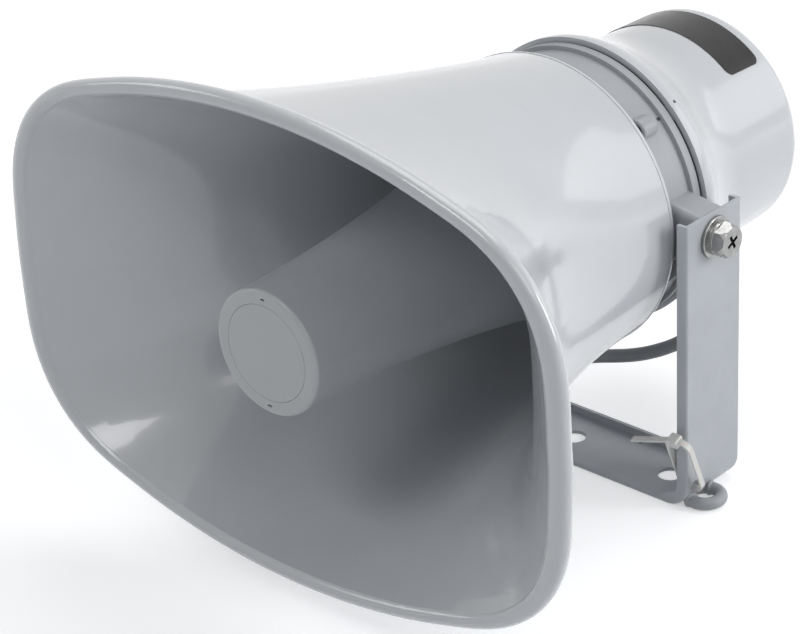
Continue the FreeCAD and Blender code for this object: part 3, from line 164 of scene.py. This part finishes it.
@dataclass(frozen=True)
class Finish:
    """A surface finish: a ground colour with mottling, a grain in the bump, and a gloss.

    The defaults are those of a plain moulded plastic.
    """

    name: str
    colour: str
    shade: str
    roughness: float = 0.4
    roughness_spread: float = 0.06
    metallic: float = 0.0
    ior: float = 1.5
    mottle_mm: float = 35.0
    grain_mm: float = 0.6
    grain_height_mm: float = 0.004
    wave_mm: float = 0.0
    wave_height_mm: float = 0.0
    coat: float = 0.0
    coat_roughness: float = 0.1
    subsurface: float = 0.0

    def build(self) -> bpy.types.Material:
        """Make the material.

        Returns:
            A node material with this finish.
        """
        material = bpy.data.materials.new(self.name)
        tree = clear_tree(material)
        place = add_node(tree, "ShaderNodeTexCoord", {}).outputs["Object"]
        shader = add_node(tree, "ShaderNodeBsdfPrincipled", {
            "Base Color": self.ground(tree, place),
            "Metallic": self.metallic,
            "Roughness": self.gloss(tree, place),
            "Normal": self.relief(tree, place),
            "Coat Weight": self.coat,
            "Coat Roughness": self.coat_roughness,
            "Subsurface Weight": self.subsurface,
            "Subsurface Scale": SCATTER_DEPTH,
        })
        if self.metallic < 0.5:
            shader.inputs["IOR"].default_value = self.ior
        add_node(tree, "ShaderNodeOutputMaterial", {"Surface": shader.outputs["BSDF"]})
        return material

    def ground(self, tree: bpy.types.NodeTree,
               place: bpy.types.NodeSocket) -> bpy.types.NodeSocket:
        """Mix the two colours by soft mottling.

        Args:
            tree: The material's nodes.
            place: Object coordinates.

        Returns:
            The colour socket.
        """
        cloud = add_node(tree, "ShaderNodeTexNoise", {
            "Vector": place, "Scale": per_metre(self.mottle_mm), "Detail": 5.0,
            "Roughness": 0.62})
        spread = add_node(tree, "ShaderNodeMapRange", {
            "Value": cloud.outputs["Fac"], "From Min": MOTTLE_SPAN[0],
            "From Max": MOTTLE_SPAN[1]}, clamp=True)
        ramp = add_node(tree, "ShaderNodeValToRGB", {"Fac": spread.outputs["Result"]})
        ramp.color_ramp.elements[0].color = linear(self.colour)
        ramp.color_ramp.elements[1].color = linear(self.shade)
        return ramp.outputs["Color"]

    def gloss(self, tree: bpy.types.NodeTree,
              place: bpy.types.NodeSocket) -> bpy.types.NodeSocket:
        """Vary the roughness as handling and moulding do.

        Args:
            tree: The material's nodes.
            place: Object coordinates.

        Returns:
            The roughness socket.
        """
        haze = add_node(tree, "ShaderNodeTexNoise", {
            "Vector": place, "Scale": per_metre(self.mottle_mm * HAZE_SHARE), "Detail": 4.0})
        spread = add_node(tree, "ShaderNodeMapRange", {
            "Value": haze.outputs["Fac"], "From Min": HAZE_SPAN[0], "From Max": HAZE_SPAN[1],
            "To Min": max(self.roughness - self.roughness_spread, LEAST_ROUGHNESS),
            "To Max": self.roughness + self.roughness_spread})
        return spread.outputs["Result"]

    def relief(self, tree: bpy.types.NodeTree,
               place: bpy.types.NodeSocket) -> bpy.types.NodeSocket:
        """Fine grain, and a longer wave where the finish has one.

        Args:
            tree: The material's nodes.
            place: Object coordinates.

        Returns:
            The normal socket.
        """
        grain = add_node(tree, "ShaderNodeTexNoise", {
            "Vector": place, "Scale": per_metre(self.grain_mm), "Detail": 3.0})
        bump = add_node(tree, "ShaderNodeBump", {
            "Strength": 1.0, "Distance": self.grain_height_mm * MM,
            "Height": grain.outputs["Fac"]})
        if self.wave_mm > 0:
            wave = add_node(tree, "ShaderNodeTexNoise", {
                "Vector": place, "Scale": per_metre(self.wave_mm), "Detail": 1.0})
            bump = add_node(tree, "ShaderNodeBump", {
                "Strength": 1.0, "Distance": self.wave_height_mm * MM,
                "Height": wave.outputs["Fac"], "Normal": bump.outputs["Normal"]})
        return bump.outputs["Normal"]


# Sprayed ABS: a glossy skin with a faint orange peel that bends the softboxes' edges.
HORN_ABS = Finish(
    "sprayed_abs_light_grey", "#c3c6ca", "#c0c3c7", 0.22, 0.02, grain_mm=1.1,
    grain_height_mm=0.002, wave_mm=18.0, wave_height_mm=0.018, coat=0.6, coat_roughness=0.07)
# The reflector and its disc have a finer, more satin skin.
REFLECTOR_ABS = Finish(
    "moulded_abs_satin", "#b4b7ba", "#b0b3b6", 0.34, 0.03, grain_mm=0.7,
    grain_height_mm=0.003, coat=0.2, coat_roughness=0.25)
# Bare ABS of the inner tube, as moulded.
TUBE_ABS = Finish("moulded_abs_grey", "#8f9296", "#888b8f", 0.42, 0.05)
# The waist ring is a darker grey than the horn: partly the ring's own grey, partly painted shade
# of the recess it sits in.
COLLAR_ABS = Finish("waist_abs_with_painted_recess_shade", "#a4a7ab", "#9ea1a5", 0.38, 0.05, grain_mm=0.5)
# Powder coat on steel: a fine even pebble, softer gloss than the horn.
POWDER_COAT = Finish(
    "powder_coated_steel", "#b4b8bd", "#acb0b5", 0.42, 0.05, mottle_mm=22.0, grain_mm=0.8,
    grain_height_mm=0.012)
# The safety ring carries the same coat as the bracket, laid on thicker and duller; its darker
# grey than the bracket's is painted shade.
RING_COAT = Finish(
    "powder_coat_thick_with_painted_shade", "#a3a6aa", "#999ca0", 0.5, 0.05, mottle_mm=6.0, grain_mm=1.1,
    grain_height_mm=0.03)
# Turned stainless steel: bright, with faint tool marks.
STAINLESS = Finish(
    "stainless_steel", "#a5a5a4", "#8f8f8e", 0.2, 0.06, metallic=1.0, mottle_mm=4.0,
    grain_mm=0.35, grain_height_mm=0.004)
PLATED_STEEL = Finish(
    "zinc_plated_steel", "#b9bab4", "#a7a99f", 0.32, 0.08, metallic=1.0, mottle_mm=9.0)
NYLON = Finish(
    "natural_nylon", "#dddddb", "#d2d2cf", 0.36, 0.05, ior=1.53, mottle_mm=6.0,
    subsurface=0.25)
LABEL_FILM = Finish("black_polyester_film", "#08080a", "#0c0c0e", 0.26, 0.04, mottle_mm=12.0)
RUBBER = Finish("moulded_rubber", "#1c1c1d", "#232324", 0.62, 0.06, ior=1.52, mottle_mm=8.0)
# Extruded PVC, matt, with the slow waviness of the stranding below.
JACKET = Finish(
    "pvc_cable_jacket", "#85888b", "#7c7f82", 0.46, 0.05, ior=1.53, mottle_mm=9.0,
    grain_mm=0.5, wave_mm=7.0, wave_height_mm=0.05)
TINNED_COPPER = Finish(
    "tinned_copper_strands", "#c2b9a8", "#b5a58c", 0.3, 0.06, metallic=1.0, mottle_mm=2.0)
CORE_WHITE = Finish(
    "pvc_core_white", "#d7d6d1", "#cbcac5", 0.4, 0.05, ior=1.53, mottle_mm=5.0)
CORE_BLACK = Finish(
    "pvc_core_black", "#232426", "#2b2c2e", 0.42, 0.05, ior=1.53, mottle_mm=5.0)
# The driver and its transformer, inside the cover.
FERRITE = Finish(
    "sintered_ferrite", "#2b2b2e", "#222225", 0.6, 0.08, mottle_mm=6.0, grain_mm=0.4)
FILM = Finish(
    "amber_polyimide", "#9a6a2a", "#875b22", 0.28, 0.05, mottle_mm=8.0, subsurface=0.1)
COPPER = Finish(
    "enamelled_copper", "#a5582c", "#8f4a24", 0.34, 0.06, metallic=1.0, mottle_mm=3.0)
PHENOLIC = Finish("phenolic_board", "#6a4322", "#5b391c", 0.5, 0.06, mottle_mm=5.0)
CORE_STEEL = Finish(
    "varnished_laminations", "#5a5b5d", "#454648", 0.45, 0.08, metallic=1.0, mottle_mm=5.0)
TAPE = Finish("polyester_winding_tape", "#c8a93a", "#b99a30", 0.32, 0.05, mottle_mm=7.0)
LEAD = Finish("pvc_lead", "#c9c9c7", "#bdbdbb", 0.42, 0.05, mottle_mm=6.0)
BRASS = Finish("turned_brass", "#b8964a", "#a6863f", 0.28, 0.06, metallic=1.0, mottle_mm=5.0)

SLOT_FINISHES = {
    "horn_plastic": HORN_ABS,
    "dark_plastic": TUBE_ABS,
    "collar_plastic": COLLAR_ABS,
    "coated_steel": POWDER_COAT,
    "bolt_steel": STAINLESS,
    "plated_steel": PLATED_STEEL,
    "nylon": NYLON,
    "label_film": LABEL_FILM,
    "seal_rubber": RUBBER,
    "cable_jacket": JACKET,
    "ferrite": FERRITE,
    "film_plastic": FILM,
    "copper": COPPER,
    "board": PHENOLIC,
    "core_steel": CORE_STEEL,
    "winding_tape": TAPE,
    "lead_plastic": LEAD,
    "brass": BRASS,
}

NODE_FINISHES = {
    "reflector": REFLECTOR_ABS,
    "badge_disc": REFLECTOR_ABS,
    "safety_eye": RING_COAT,
}


class Wardrobe:
    """Builds each finish once and dresses pieces in it."""

    def __init__(self) -> None:
        """Start with no material made."""
        self.made: dict[str, bpy.types.Material] = {}

    def material(self, finish: Finish) -> bpy.types.Material:
        """Get the material of a finish, made on first use.

        Args:
            finish: The finish.

        Returns:
            Its one material.
        """
        if finish.name not in self.made:
            self.made[finish.name] = finish.build()
        return self.made[finish.name]

    def dress(self, piece: bpy.types.Object, finish: Finish) -> None:
        """Give a piece one finish all over.

        Args:
            piece: A mesh or curve object.
            finish: The finish that it gets.
        """
        material = self.material(finish)
        if len(piece.material_slots) == 0:
            piece.data.materials.append(material)
        for slot in piece.material_slots:
            slot.material = material


def deselect() -> None:
    """Leave object mode clean: nothing selected."""
    if bpy.context.object and bpy.context.object.mode != "OBJECT":
        bpy.ops.object.mode_set(mode="OBJECT")
    bpy.ops.object.select_all(action="DESELECT")


def activate(piece: bpy.types.Object) -> None:
    """Select one object alone and make it the active one.

    Args:
        piece: The object.
    """
    deselect()
    piece.select_set(True)
    bpy.context.view_layer.objects.active = piece


def add_rods(name: str, lines: list[list[Vector]], radius: float, roundness: int,
             steps: int) -> bpy.types.Object:
    """Run round rods along lines of points, as one curve object.

    Args:
        name: The piece's name.
        lines: Points of each rod, which it starts and ends at and bends towards.
        radius: Radius of every rod.
        roundness: Blender's bevel resolution, for the section.
        steps: Points of the curve between two given ones.

    Returns:
        The curve object, with closed ends.
    """
    data = bpy.data.curves.new(name, "CURVE")
    data.dimensions = "3D"
    data.bevel_depth = radius
    data.bevel_resolution = roundness
    data.resolution_u = steps
    data.use_fill_caps = True
    for points in lines:
        spline = data.splines.new("NURBS")
        spline.points.add(len(points) - 1)
        for point, place in zip(spline.points, points):
            point.co = (*place, 1.0)
        spline.order_u = 3
        spline.use_endpoint_u = True
    piece = bpy.data.objects.new(name, data)
    bpy.context.scene.collection.objects.link(piece)
    return piece


@dataclass
class SolidParts:
    """The CAD solids as they are seen: smooth mouldings as they are, the rest with soft edges."""

    frame: dict
    wardrobe: Wardrobe
    merge: float = 0.02 * MM
    flat_angle: float = 0.4
    edge_angle: float = 40.0
    edge_segments: int = 3
    smooth_angle: float = 32.0
    edges: dict[str, float] = field(default_factory=lambda: {
        "bracket": 0.22 * MM,
        "cable_tie": 0.14 * MM,
        "pivot_bolt_right": 0.2 * MM,
        "pivot_bolt_left": 0.2 * MM,
        "flat_washer_right": 0.15 * MM,
        "flat_washer_left": 0.15 * MM,
        "spring_washer_right": 0.15 * MM,
        "spring_washer_left": 0.15 * MM,
    })

    def slots(self) -> dict[str, str]:
        """Material slot of each node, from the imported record."""
        return {row["node"]: row["material_slot"] for row in self.frame["record"]["subparts"]}

    def finish_of(self, node: str) -> Finish:
        """The finish of a node: its own, or else its slot's."""
        return NODE_FINISHES.get(node, SLOT_FINISHES[self.slots()[node]])

    def body_of(self, node: str) -> str:
        """The body that a node rides on."""
        bodies = self.frame["record"]["behaviour"]["bodies"]
        return next(body for body, names in bodies.items() if node in names)

    def dress_nodes(self) -> None:
        """Give every CAD node its finish."""
        for name in self.slots():
            self.wardrobe.dress(self.frame["nodes"][name], self.finish_of(name))
            log.info("%s: dressed", name)

    def soften(self, node: str, width: float) -> bpy.types.Object:
        """Copy a node, merge it to clean flat faces and round its edges.

        Args:
            node: The CAD node's name.
            width: Width of the rounding.

        Returns:
            The finished copy, which stands for the node.
        """
        activate(self.frame["nodes"][node])
        bpy.ops.object.duplicate(linked=False)
        piece = bpy.context.object
        piece.name = node + "_seen"
        activate(piece)
        bpy.ops.mesh.customdata_custom_splitnormals_clear()
        bpy.ops.object.mode_set(mode="EDIT")
        bpy.ops.mesh.select_all(action="SELECT")
        bpy.ops.mesh.remove_doubles(threshold=self.merge)
        bpy.ops.mesh.dissolve_limited(angle_limit=math.radians(self.flat_angle))
        bpy.ops.object.mode_set(mode="OBJECT")
        bevel = piece.modifiers.new("edge", "BEVEL")
        bevel.width = width
        bevel.segments = self.edge_segments
        bevel.limit_method = "ANGLE"
        bevel.angle_limit = math.radians(self.edge_angle)
        bpy.ops.object.modifier_apply(modifier=bevel.name)
        bpy.ops.object.shade_smooth_by_angle(angle=math.radians(self.smooth_angle))
        weigh = piece.modifiers.new("weigh", "WEIGHTED_NORMAL")
        weigh.keep_sharp = True
        bpy.ops.object.modifier_apply(modifier=weigh.name)
        return piece

    def build(self) -> None:
        """Dress all nodes, then put softened copies in place of the pressed and turned ones."""
        self.dress_nodes()
        for node, width in self.edges.items():
            piece = self.soften(node, width)
            self.wardrobe.dress(piece, self.finish_of(node))
            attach(piece, self.body_of(node))
            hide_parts(node)
            log.info("%s: %d faces", piece.name, len(piece.data.polygons))


@dataclass
class WeldBeads:
    """Two rounded beads where the safety ring meets the bracket's lower right bend."""

    wardrobe: Wardrobe
    ring_mm: tuple[float, float, float] = (75.6, -7.0, 2.9)
    meets_mm: float = 2.2
    ring_radius_mm: float = 6.8
    bead_mm: tuple[float, float] = (2.45, 1.05)
    bead_sides: tuple[int, int] = (28, 10)
    uneven_mm: float = 0.16
    uneven_seed: int = 4
    floor_mm: float = 0.25
    smooth_angle: float = 50.0

    def bead(self, side: int) -> bpy.types.Object:
        """Lay one bead round the wire, flat where it would reach below the foot.

        Args:
            side: 1 or -1, the end of the weld.

        Returns:
            The bead.
        """
        aside = math.sqrt(self.ring_radius_mm ** 2 - self.meets_mm ** 2)
        x, y, z = self.ring_mm
        place = Vector((x - self.meets_mm, y + side * aside, z)) * MM
        along = Vector((aside, side * self.meets_mm, 0.0)).normalized()
        turn = along.to_track_quat("Z", "Y").to_euler()
        deselect()
        bpy.ops.mesh.primitive_torus_add(
            major_segments=self.bead_sides[0], minor_segments=self.bead_sides[1],
            location=place, rotation=turn,
            major_radius=self.bead_mm[0] * MM, minor_radius=self.bead_mm[1] * MM)
        piece = bpy.context.object
        piece.name = "weld_bead_front" if side < 0 else "weld_bead_rear"
        bpy.ops.object.transform_apply(location=True, rotation=True, scale=True)
        bpy.ops.object.mode_set(mode="EDIT")
        bpy.ops.mesh.select_all(action="SELECT")
        bpy.ops.transform.vertex_random(
            offset=self.uneven_mm * MM, normal=1.0, seed=self.uneven_seed + side)
        bpy.ops.mesh.bisect(
            plane_co=(0.0, 0.0, self.floor_mm * MM), plane_no=(0.0, 0.0, 1.0),
            use_fill=True, clear_inner=True)
        bpy.ops.object.mode_set(mode="OBJECT")
        smooth = piece.modifiers.new("flow", "SUBSURF")
        smooth.levels = 1
        bpy.ops.object.modifier_apply(modifier=smooth.name)
        bpy.ops.object.shade_smooth_by_angle(angle=math.radians(self.smooth_angle))
        return piece

    def build(self) -> None:
        """Lay both beads."""
        for side in (-1, 1):
            piece = self.bead(side)
            self.wardrobe.dress(piece, RING_COAT)
            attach(piece, Body.BRACKET.value)
            log.info("%s: %d faces", piece.name, len(piece.data.polygons))


@dataclass
class StrainRelief:
    """Rubber gland under the housing: plug, round flange and a tapered sleeve with grooves."""

    wardrobe: Wardrobe
    place_mm: tuple[float, float] = (38.0, 44.0)
    sides: int = 56
    smooth_angle: float = 40.0
    # Radius and height of each ring, from the plug's top down to the sleeve's mouth.
    profile_mm: tuple[tuple[float, float], ...] = (
        (5.0, 84.5), (5.0, 76.6), (7.2, 76.5), (7.5, 76.2), (7.5, 74.9), (7.2, 74.5),
        (6.0, 74.4), (5.95, 73.1), (5.7, 72.9), (5.1, 72.8), (5.05, 72.0), (5.6, 71.9),
        (5.72, 71.7), (5.6, 70.9), (5.4, 70.7), (4.8, 70.6), (4.75, 69.9), (5.2, 69.8),
        (5.35, 69.6), (5.2, 68.8), (5.0, 68.6), (4.5, 68.5), (4.45, 67.8), (4.8, 67.7),
        (4.95, 67.5), (4.65, 66.0), (4.3, 65.6), (3.7, 65.5),
    )

    def build(self) -> None:
        """Draw a disc down through the profile, one ring after another."""
        x, y = (v * MM for v in self.place_mm)
        radius, height = (v * MM for v in self.profile_mm[0])
        deselect()
        bpy.ops.mesh.primitive_circle_add(
            vertices=self.sides, radius=radius, fill_type="NGON", location=(x, y, height))
        piece = bpy.context.object
        piece.name = "strain_relief"
        bpy.ops.object.transform_apply(location=True, rotation=False, scale=False)
        bpy.ops.object.mode_set(mode="EDIT")
        bpy.ops.mesh.select_all(action="SELECT")
        for next_radius, next_height in self.profile_mm[1:]:
            drop = next_height * MM - height
            bpy.ops.mesh.extrude_region_move(TRANSFORM_OT_translate={"value": (0.0, 0.0, drop)})
            height = next_height * MM
            ratio = next_radius * MM / radius
            bpy.ops.transform.resize(
                value=(ratio, ratio, 1.0), center_override=(x, y, height))
            radius = next_radius * MM
        bpy.ops.mesh.select_all(action="SELECT")
        bpy.ops.mesh.normals_make_consistent(inside=False)
        bpy.ops.object.mode_set(mode="OBJECT")
        bpy.ops.object.shade_smooth_by_angle(angle=math.radians(self.smooth_angle))
        self.wardrobe.dress(piece, RUBBER)
        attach(piece, Body.HORN.value)
        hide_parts("cable_gland")
        log.info("strain_relief: %d faces", len(piece.data.polygons))


@dataclass
class CableCores:
    """Two cores out of the cut jacket, each stripped to a twist of tinned strands."""

    wardrobe: Wardrobe
    start_mm: tuple[float, float, float] = (-50.0, -65.0, 3.2)
    heading: tuple[float, float, float] = (0.894, -0.447, 0.0)
    spread_mm: float = 1.43
    insulation_mm: float = 1.1
    insulated_mm: float = 25.0
    insulated_spans: int = 6
    inside_jacket_mm: float = 2.0
    above_floor_mm: float = 0.15
    bare_mm: float = 9.0
    bare_spans: int = 8
    inside_sleeve_mm: float = 1.5
    strand_mm: float = 0.2
    strands: int = 7
    strand_pitch: float = 2.05
    twist: float = 0.09
    roundness: int = 5
    steps: int = 6
    smooth_angle: float = 50.0

    def spot(self, along: float, side: float) -> Vector:
        """Find a point of a core's middle line.

        Args:
            along: Distance from the jacket's end, in millimetres.
            side: 1 or -1.

        Returns:
            The point, in metres; the cores sink from the jacket to the floor as they leave it.
        """
        forward = Vector(self.heading)
        sideways = Vector((forward.y, -forward.x, 0.0))
        start = Vector(self.start_mm)
        sunk = min(max(along, 0.0) / self.insulated_mm, 1.0)
        drop = start.z - self.insulation_mm - self.above_floor_mm
        fall = drop * (3 * sunk ** 2 - 2 * sunk ** 3)
        place = start + forward * along + sideways * (side * self.spread_mm)
        return (place - Vector((0, 0, fall))) * MM

    def sleeve_line(self, side: int) -> list[Vector]:
        """Find the line of one core's insulation, which starts inside the jacket.

        Args:
            side: 1 or -1.

        Returns:
            Its points, in metres.
        """
        spots = []
        for k in range(self.insulated_spans + 1):
            along = self.insulated_mm * k / self.insulated_spans
            spots.append(self.spot(along - (self.inside_jacket_mm if k == 0 else 0.0), side))
        return spots

    def strand_line(self, side: int, strand: int) -> list[Vector]:
        """Find the line of one strand: the first runs straight, the others wind round it.

        Args:
            side: 1 or -1, the core.
            strand: The strand's number.

        Returns:
            Its points, in metres.
        """
        reach = 0.0 if strand == 0 else self.strand_pitch * self.strand_mm
        points = []
        for k in range(self.bare_spans + 1):
            along = (self.insulated_mm - self.inside_sleeve_mm
                     + (self.bare_mm + self.inside_sleeve_mm) * k / self.bare_spans)
            turn = 2 * math.pi * (strand / (self.strands - 1) + self.twist * k)
            lift = Vector((self.heading[1] * math.cos(turn),
                           -self.heading[0] * math.cos(turn), math.sin(turn)))
            points.append(self.spot(along, side) + lift * (reach * MM))
        return points

    def rods(self, name: str, lines: list[list[Vector]], radius_mm: float,
             finish: Finish) -> bpy.types.Object:
        """Model rods as one mesh that rides with the cable.

        Args:
            name: The piece's name.
            lines: Points of each rod, in metres.
            radius_mm: Radius of every rod.
            finish: The finish that they get.

        Returns:
            The finished piece.
        """
        piece = add_rods(name, lines, radius_mm * MM, self.roundness, self.steps)
        activate(piece)
        bpy.ops.object.convert(target="MESH")
        bpy.ops.object.shade_smooth_by_angle(angle=math.radians(self.smooth_angle))
        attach(piece, Body.HORN.value)
        self.wardrobe.dress(piece, finish)
        return piece

    def build(self) -> list[bpy.types.Object]:
        """Model both cores.

        Returns:
            The pieces, which are handed to the cable.
        """
        pieces = []
        for side, label, finish in ((1, "white", CORE_WHITE), (-1, "black", CORE_BLACK)):
            sleeve = self.rods(
                "core_" + label, [self.sleeve_line(side)], self.insulation_mm, finish)
            twists = [self.strand_line(side, strand) for strand in range(self.strands)]
            bundle = self.rods("strands_" + label, twists, self.strand_mm, TINNED_COPPER)
            pieces += [sleeve, bundle]
            log.info("core_%s: one sleeve, %d strands", label, self.strands)
        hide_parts("cable_cores")
        return pieces


@dataclass
class SpeakerCable:
    """The two-core cable: out of the gland, forward over the foot, one loop on the floor."""

    wardrobe: Wardrobe
    cores: list[bpy.types.Object]
    diameter: float = 6.0 * MM
    length: float = 0.385
    roundness: int = 6
    steps: int = 12
    exit: tuple[float, float, float] = (0.038, 0.044, 0.0655)
    route_mm: tuple[tuple[float, float, float], ...] = (
        (38.0, 44.0, 57.5),
        (35.8, 43.0, 49.5),
        (30.9, 40.8, 42.6),
        (22.5, 36.5, 36.6),
        (9.5, 30.0, 31.4),
        (-8.0, 19.0, 30.5),
        (-23.0, 2.0, 28.5),
        (-32.0, -21.0, 26.5),
        (-36.0, -46.0, 26.5),
        (-39.0, -68.0, 22.0),
        (-44.0, -88.0, 13.0),
        (-52.0, -104.0, 5.5),
        (-66.0, -117.0, 3.2),
        (-84.0, -123.0, 3.2),
        (-102.0, -119.0, 3.2),
        (-115.0, -106.0, 3.2),
        (-120.0, -89.0, 3.2),
        (-115.0, -72.0, 3.2),
        (-102.0, -59.0, 3.2),
        (-84.0, -54.0, 3.2),
        (-66.0, -57.0, 3.2),
        (-50.0, -65.0, 3.2),
    )

    def build(self) -> None:
        points = [Vector(self.exit)] + [Vector(spot) * MM for spot in self.route_mm]
        piece = add_rods(
            "cable_jacket", [points], self.diameter / 2, self.roundness, self.steps)
        self.wardrobe.dress(piece, JACKET)
        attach(piece, Body.HORN.value)
        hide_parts("cable")
        log.info("cable_jacket: %d points", len(points))


@dataclass(frozen=True)
class Softbox:
    """A rectangular lamp: where it hangs, its width and height, and its watts."""

    name: str
    place: tuple[float, float, float]
    size: tuple[float, float]
    watts: float

    def hang(self, aim: tuple[float, float, float]) -> None:
        """Hang the lamp.

        Args:
            aim: The point that it faces.
        """
        data = bpy.data.lights.new(self.name, "AREA")
        data.shape = "RECTANGLE"
        data.size, data.size_y = self.size
        data.energy = self.watts
        lamp = bpy.data.objects.new(self.name, data)
        bpy.context.scene.collection.objects.link(lamp)
        lamp.location = self.place
        away = Vector(aim) - Vector(self.place)
        lamp.rotation_euler = away.to_track_quat("-Z", "Y").to_euler()


@dataclass
class Studio:
    """Pale floor, soft light and the photograph's camera."""

    azimuth: float = 43.2
    elevation: float = 27.5
    roll: float = -2.8
    place: tuple[float, float, float] = (0.7158, -0.8688, 0.6488)
    lens: float = 134.4
    sensor: float = 36.0
    sees_to: float = 60.0
    floor_size: float = 30.0
    paper: str = "#f4f5f7"
    # The floor's own glow rises over these distances from the middle, so it ends in white.
    fade_reach: tuple[float, float] = (0.5, 2.5)
    fade_glow: tuple[float, float] = (0.42, 1.0)
    white: str = "#ffffff"
    room: str = "#f1f3f6"
    room_strength: float = 0.15
    aim: tuple[float, float, float] = (0.0, -0.03, 0.12)
    softboxes: tuple[Softbox, ...] = (
        Softbox("key_right", (1.55, 0.8, 0.7), (0.6, 0.9), 14.0),
        Softbox("top", (-0.2, 0.5, 1.75), (1.4, 1.2), 12.0),
        Softbox("rear", (0.9, 1.4, 0.66), (0.95, 0.85), 3.5),
        Softbox("front_top", (-0.15, -1.25, 1.5), (0.7, 0.5), 5.6),
        Softbox("front_left", (-1.7, -1.1, 1.0), (0.6, 0.6), 3.6),
        Softbox("mouth_gleam", (1.2, -0.5, 1.35), (0.95, 0.8), 4.5),
    )

    def build_camera(self) -> None:
        """Aim the camera as the photograph's was."""
        data = bpy.data.cameras.new("photo_camera")
        data.sensor_width = self.sensor
        data.sensor_fit = "HORIZONTAL"
        data.lens = self.lens
        data.clip_end = self.sees_to
        camera = bpy.data.objects.new("photo_camera", data)
        bpy.context.scene.collection.objects.link(camera)
        az, el, roll = (math.radians(v) for v in (self.azimuth, self.elevation, self.roll))
        back = Vector((math.sin(az) * math.cos(el), -math.cos(az) * math.cos(el), math.sin(el)))
        right = (-back).cross(Vector((0, 0, 1))).normalized()
        up = right.cross(-back)
        right_rolled = math.cos(roll) * right + math.sin(roll) * up
        up_rolled = -math.sin(roll) * right + math.cos(roll) * up
        turn = Matrix((right_rolled, up_rolled, back)).transposed()
        camera.matrix_world = Matrix.Translation(self.place) @ turn.to_4x4()
        bpy.context.scene.camera = camera

    def build_floor(self) -> None:
        """Lay a wide pale floor that keeps the shadow and ends in white."""
        deselect()
        bpy.ops.mesh.primitive_plane_add(size=self.floor_size, location=(0, 0, 0))
        floor = bpy.context.object
        floor.name = "floor"
        material = bpy.data.materials.new("floor_paper")
        tree = clear_tree(material)
        paper = add_node(tree, "ShaderNodeBsdfDiffuse", {"Color": linear(self.paper)})
        place = add_node(tree, "ShaderNodeTexCoord", {}).outputs["Object"]
        reach = add_node(tree, "ShaderNodeVectorMath", {0: place}, operation="LENGTH")
        fade = add_node(tree, "ShaderNodeMapRange", {
            "Value": reach.outputs["Value"],
            "From Min": self.fade_reach[0], "From Max": self.fade_reach[1],
            "To Min": self.fade_glow[0], "To Max": self.fade_glow[1]})
        glow = add_node(tree, "ShaderNodeEmission", {
            "Color": linear(self.white), "Strength": fade.outputs["Result"]})
        path = add_node(tree, "ShaderNodeLightPath", {})
        seen = either(tree, path.outputs["Is Camera Ray"], path.outputs["Is Glossy Ray"])
        both = add_node(tree, "ShaderNodeAddShader", {
            0: paper.outputs["BSDF"], 1: glow.outputs["Emission"]})
        mix = add_node(tree, "ShaderNodeMixShader", {
            "Fac": seen, 1: paper.outputs["BSDF"], 2: both.outputs["Shader"]})
        add_node(tree, "ShaderNodeOutputMaterial", {"Surface": mix.outputs["Shader"]})
        floor.data.materials.append(material)

    def build_world(self) -> None:
        """Make a world that is white where it is seen or mirrored, and lights as a dim room."""
        world = bpy.data.worlds.new("studio_room")
        tree = clear_tree(world)
        path = add_node(tree, "ShaderNodeLightPath", {})
        through = either(
            tree, path.outputs["Is Camera Ray"], path.outputs["Is Transmission Ray"])
        seen = either(tree, through, path.outputs["Is Glossy Ray"])
        white = add_node(tree, "ShaderNodeBackground", {
            "Color": linear(self.white), "Strength": 1.0})
        room = add_node(tree, "ShaderNodeBackground", {
            "Color": linear(self.room), "Strength": self.room_strength})
        mix = add_node(tree, "ShaderNodeMixShader", {
            "Fac": seen, 1: room.outputs["Background"], 2: white.outputs["Background"]})
        add_node(tree, "ShaderNodeOutputWorld", {"Surface": mix.outputs["Shader"]})
        bpy.context.scene.world = world

    def build(self) -> None:
        """Set up camera, floor, room and lamps."""
        self.build_camera()
        self.build_floor()
        self.build_world()
        for softbox in self.softboxes:
            softbox.hang(self.aim)
        bpy.context.scene.view_settings.view_transform = "Standard"
        log.info("studio: camera at %s, %d softboxes", self.place, len(self.softboxes))


def main() -> None:
    """Build everything in order."""
    logging.basicConfig(level=logging.INFO, format="%(name)s: %(message)s")
    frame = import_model()
    wardrobe = Wardrobe()
    Studio().build()
    SpeakerCable(wardrobe, CableCores(wardrobe).build()).build()
    SolidParts(frame, wardrobe).build()
    StrainRelief(wardrobe).build()
    WeldBeads(wardrobe).build()


if __name__ == "__main__":
    main()
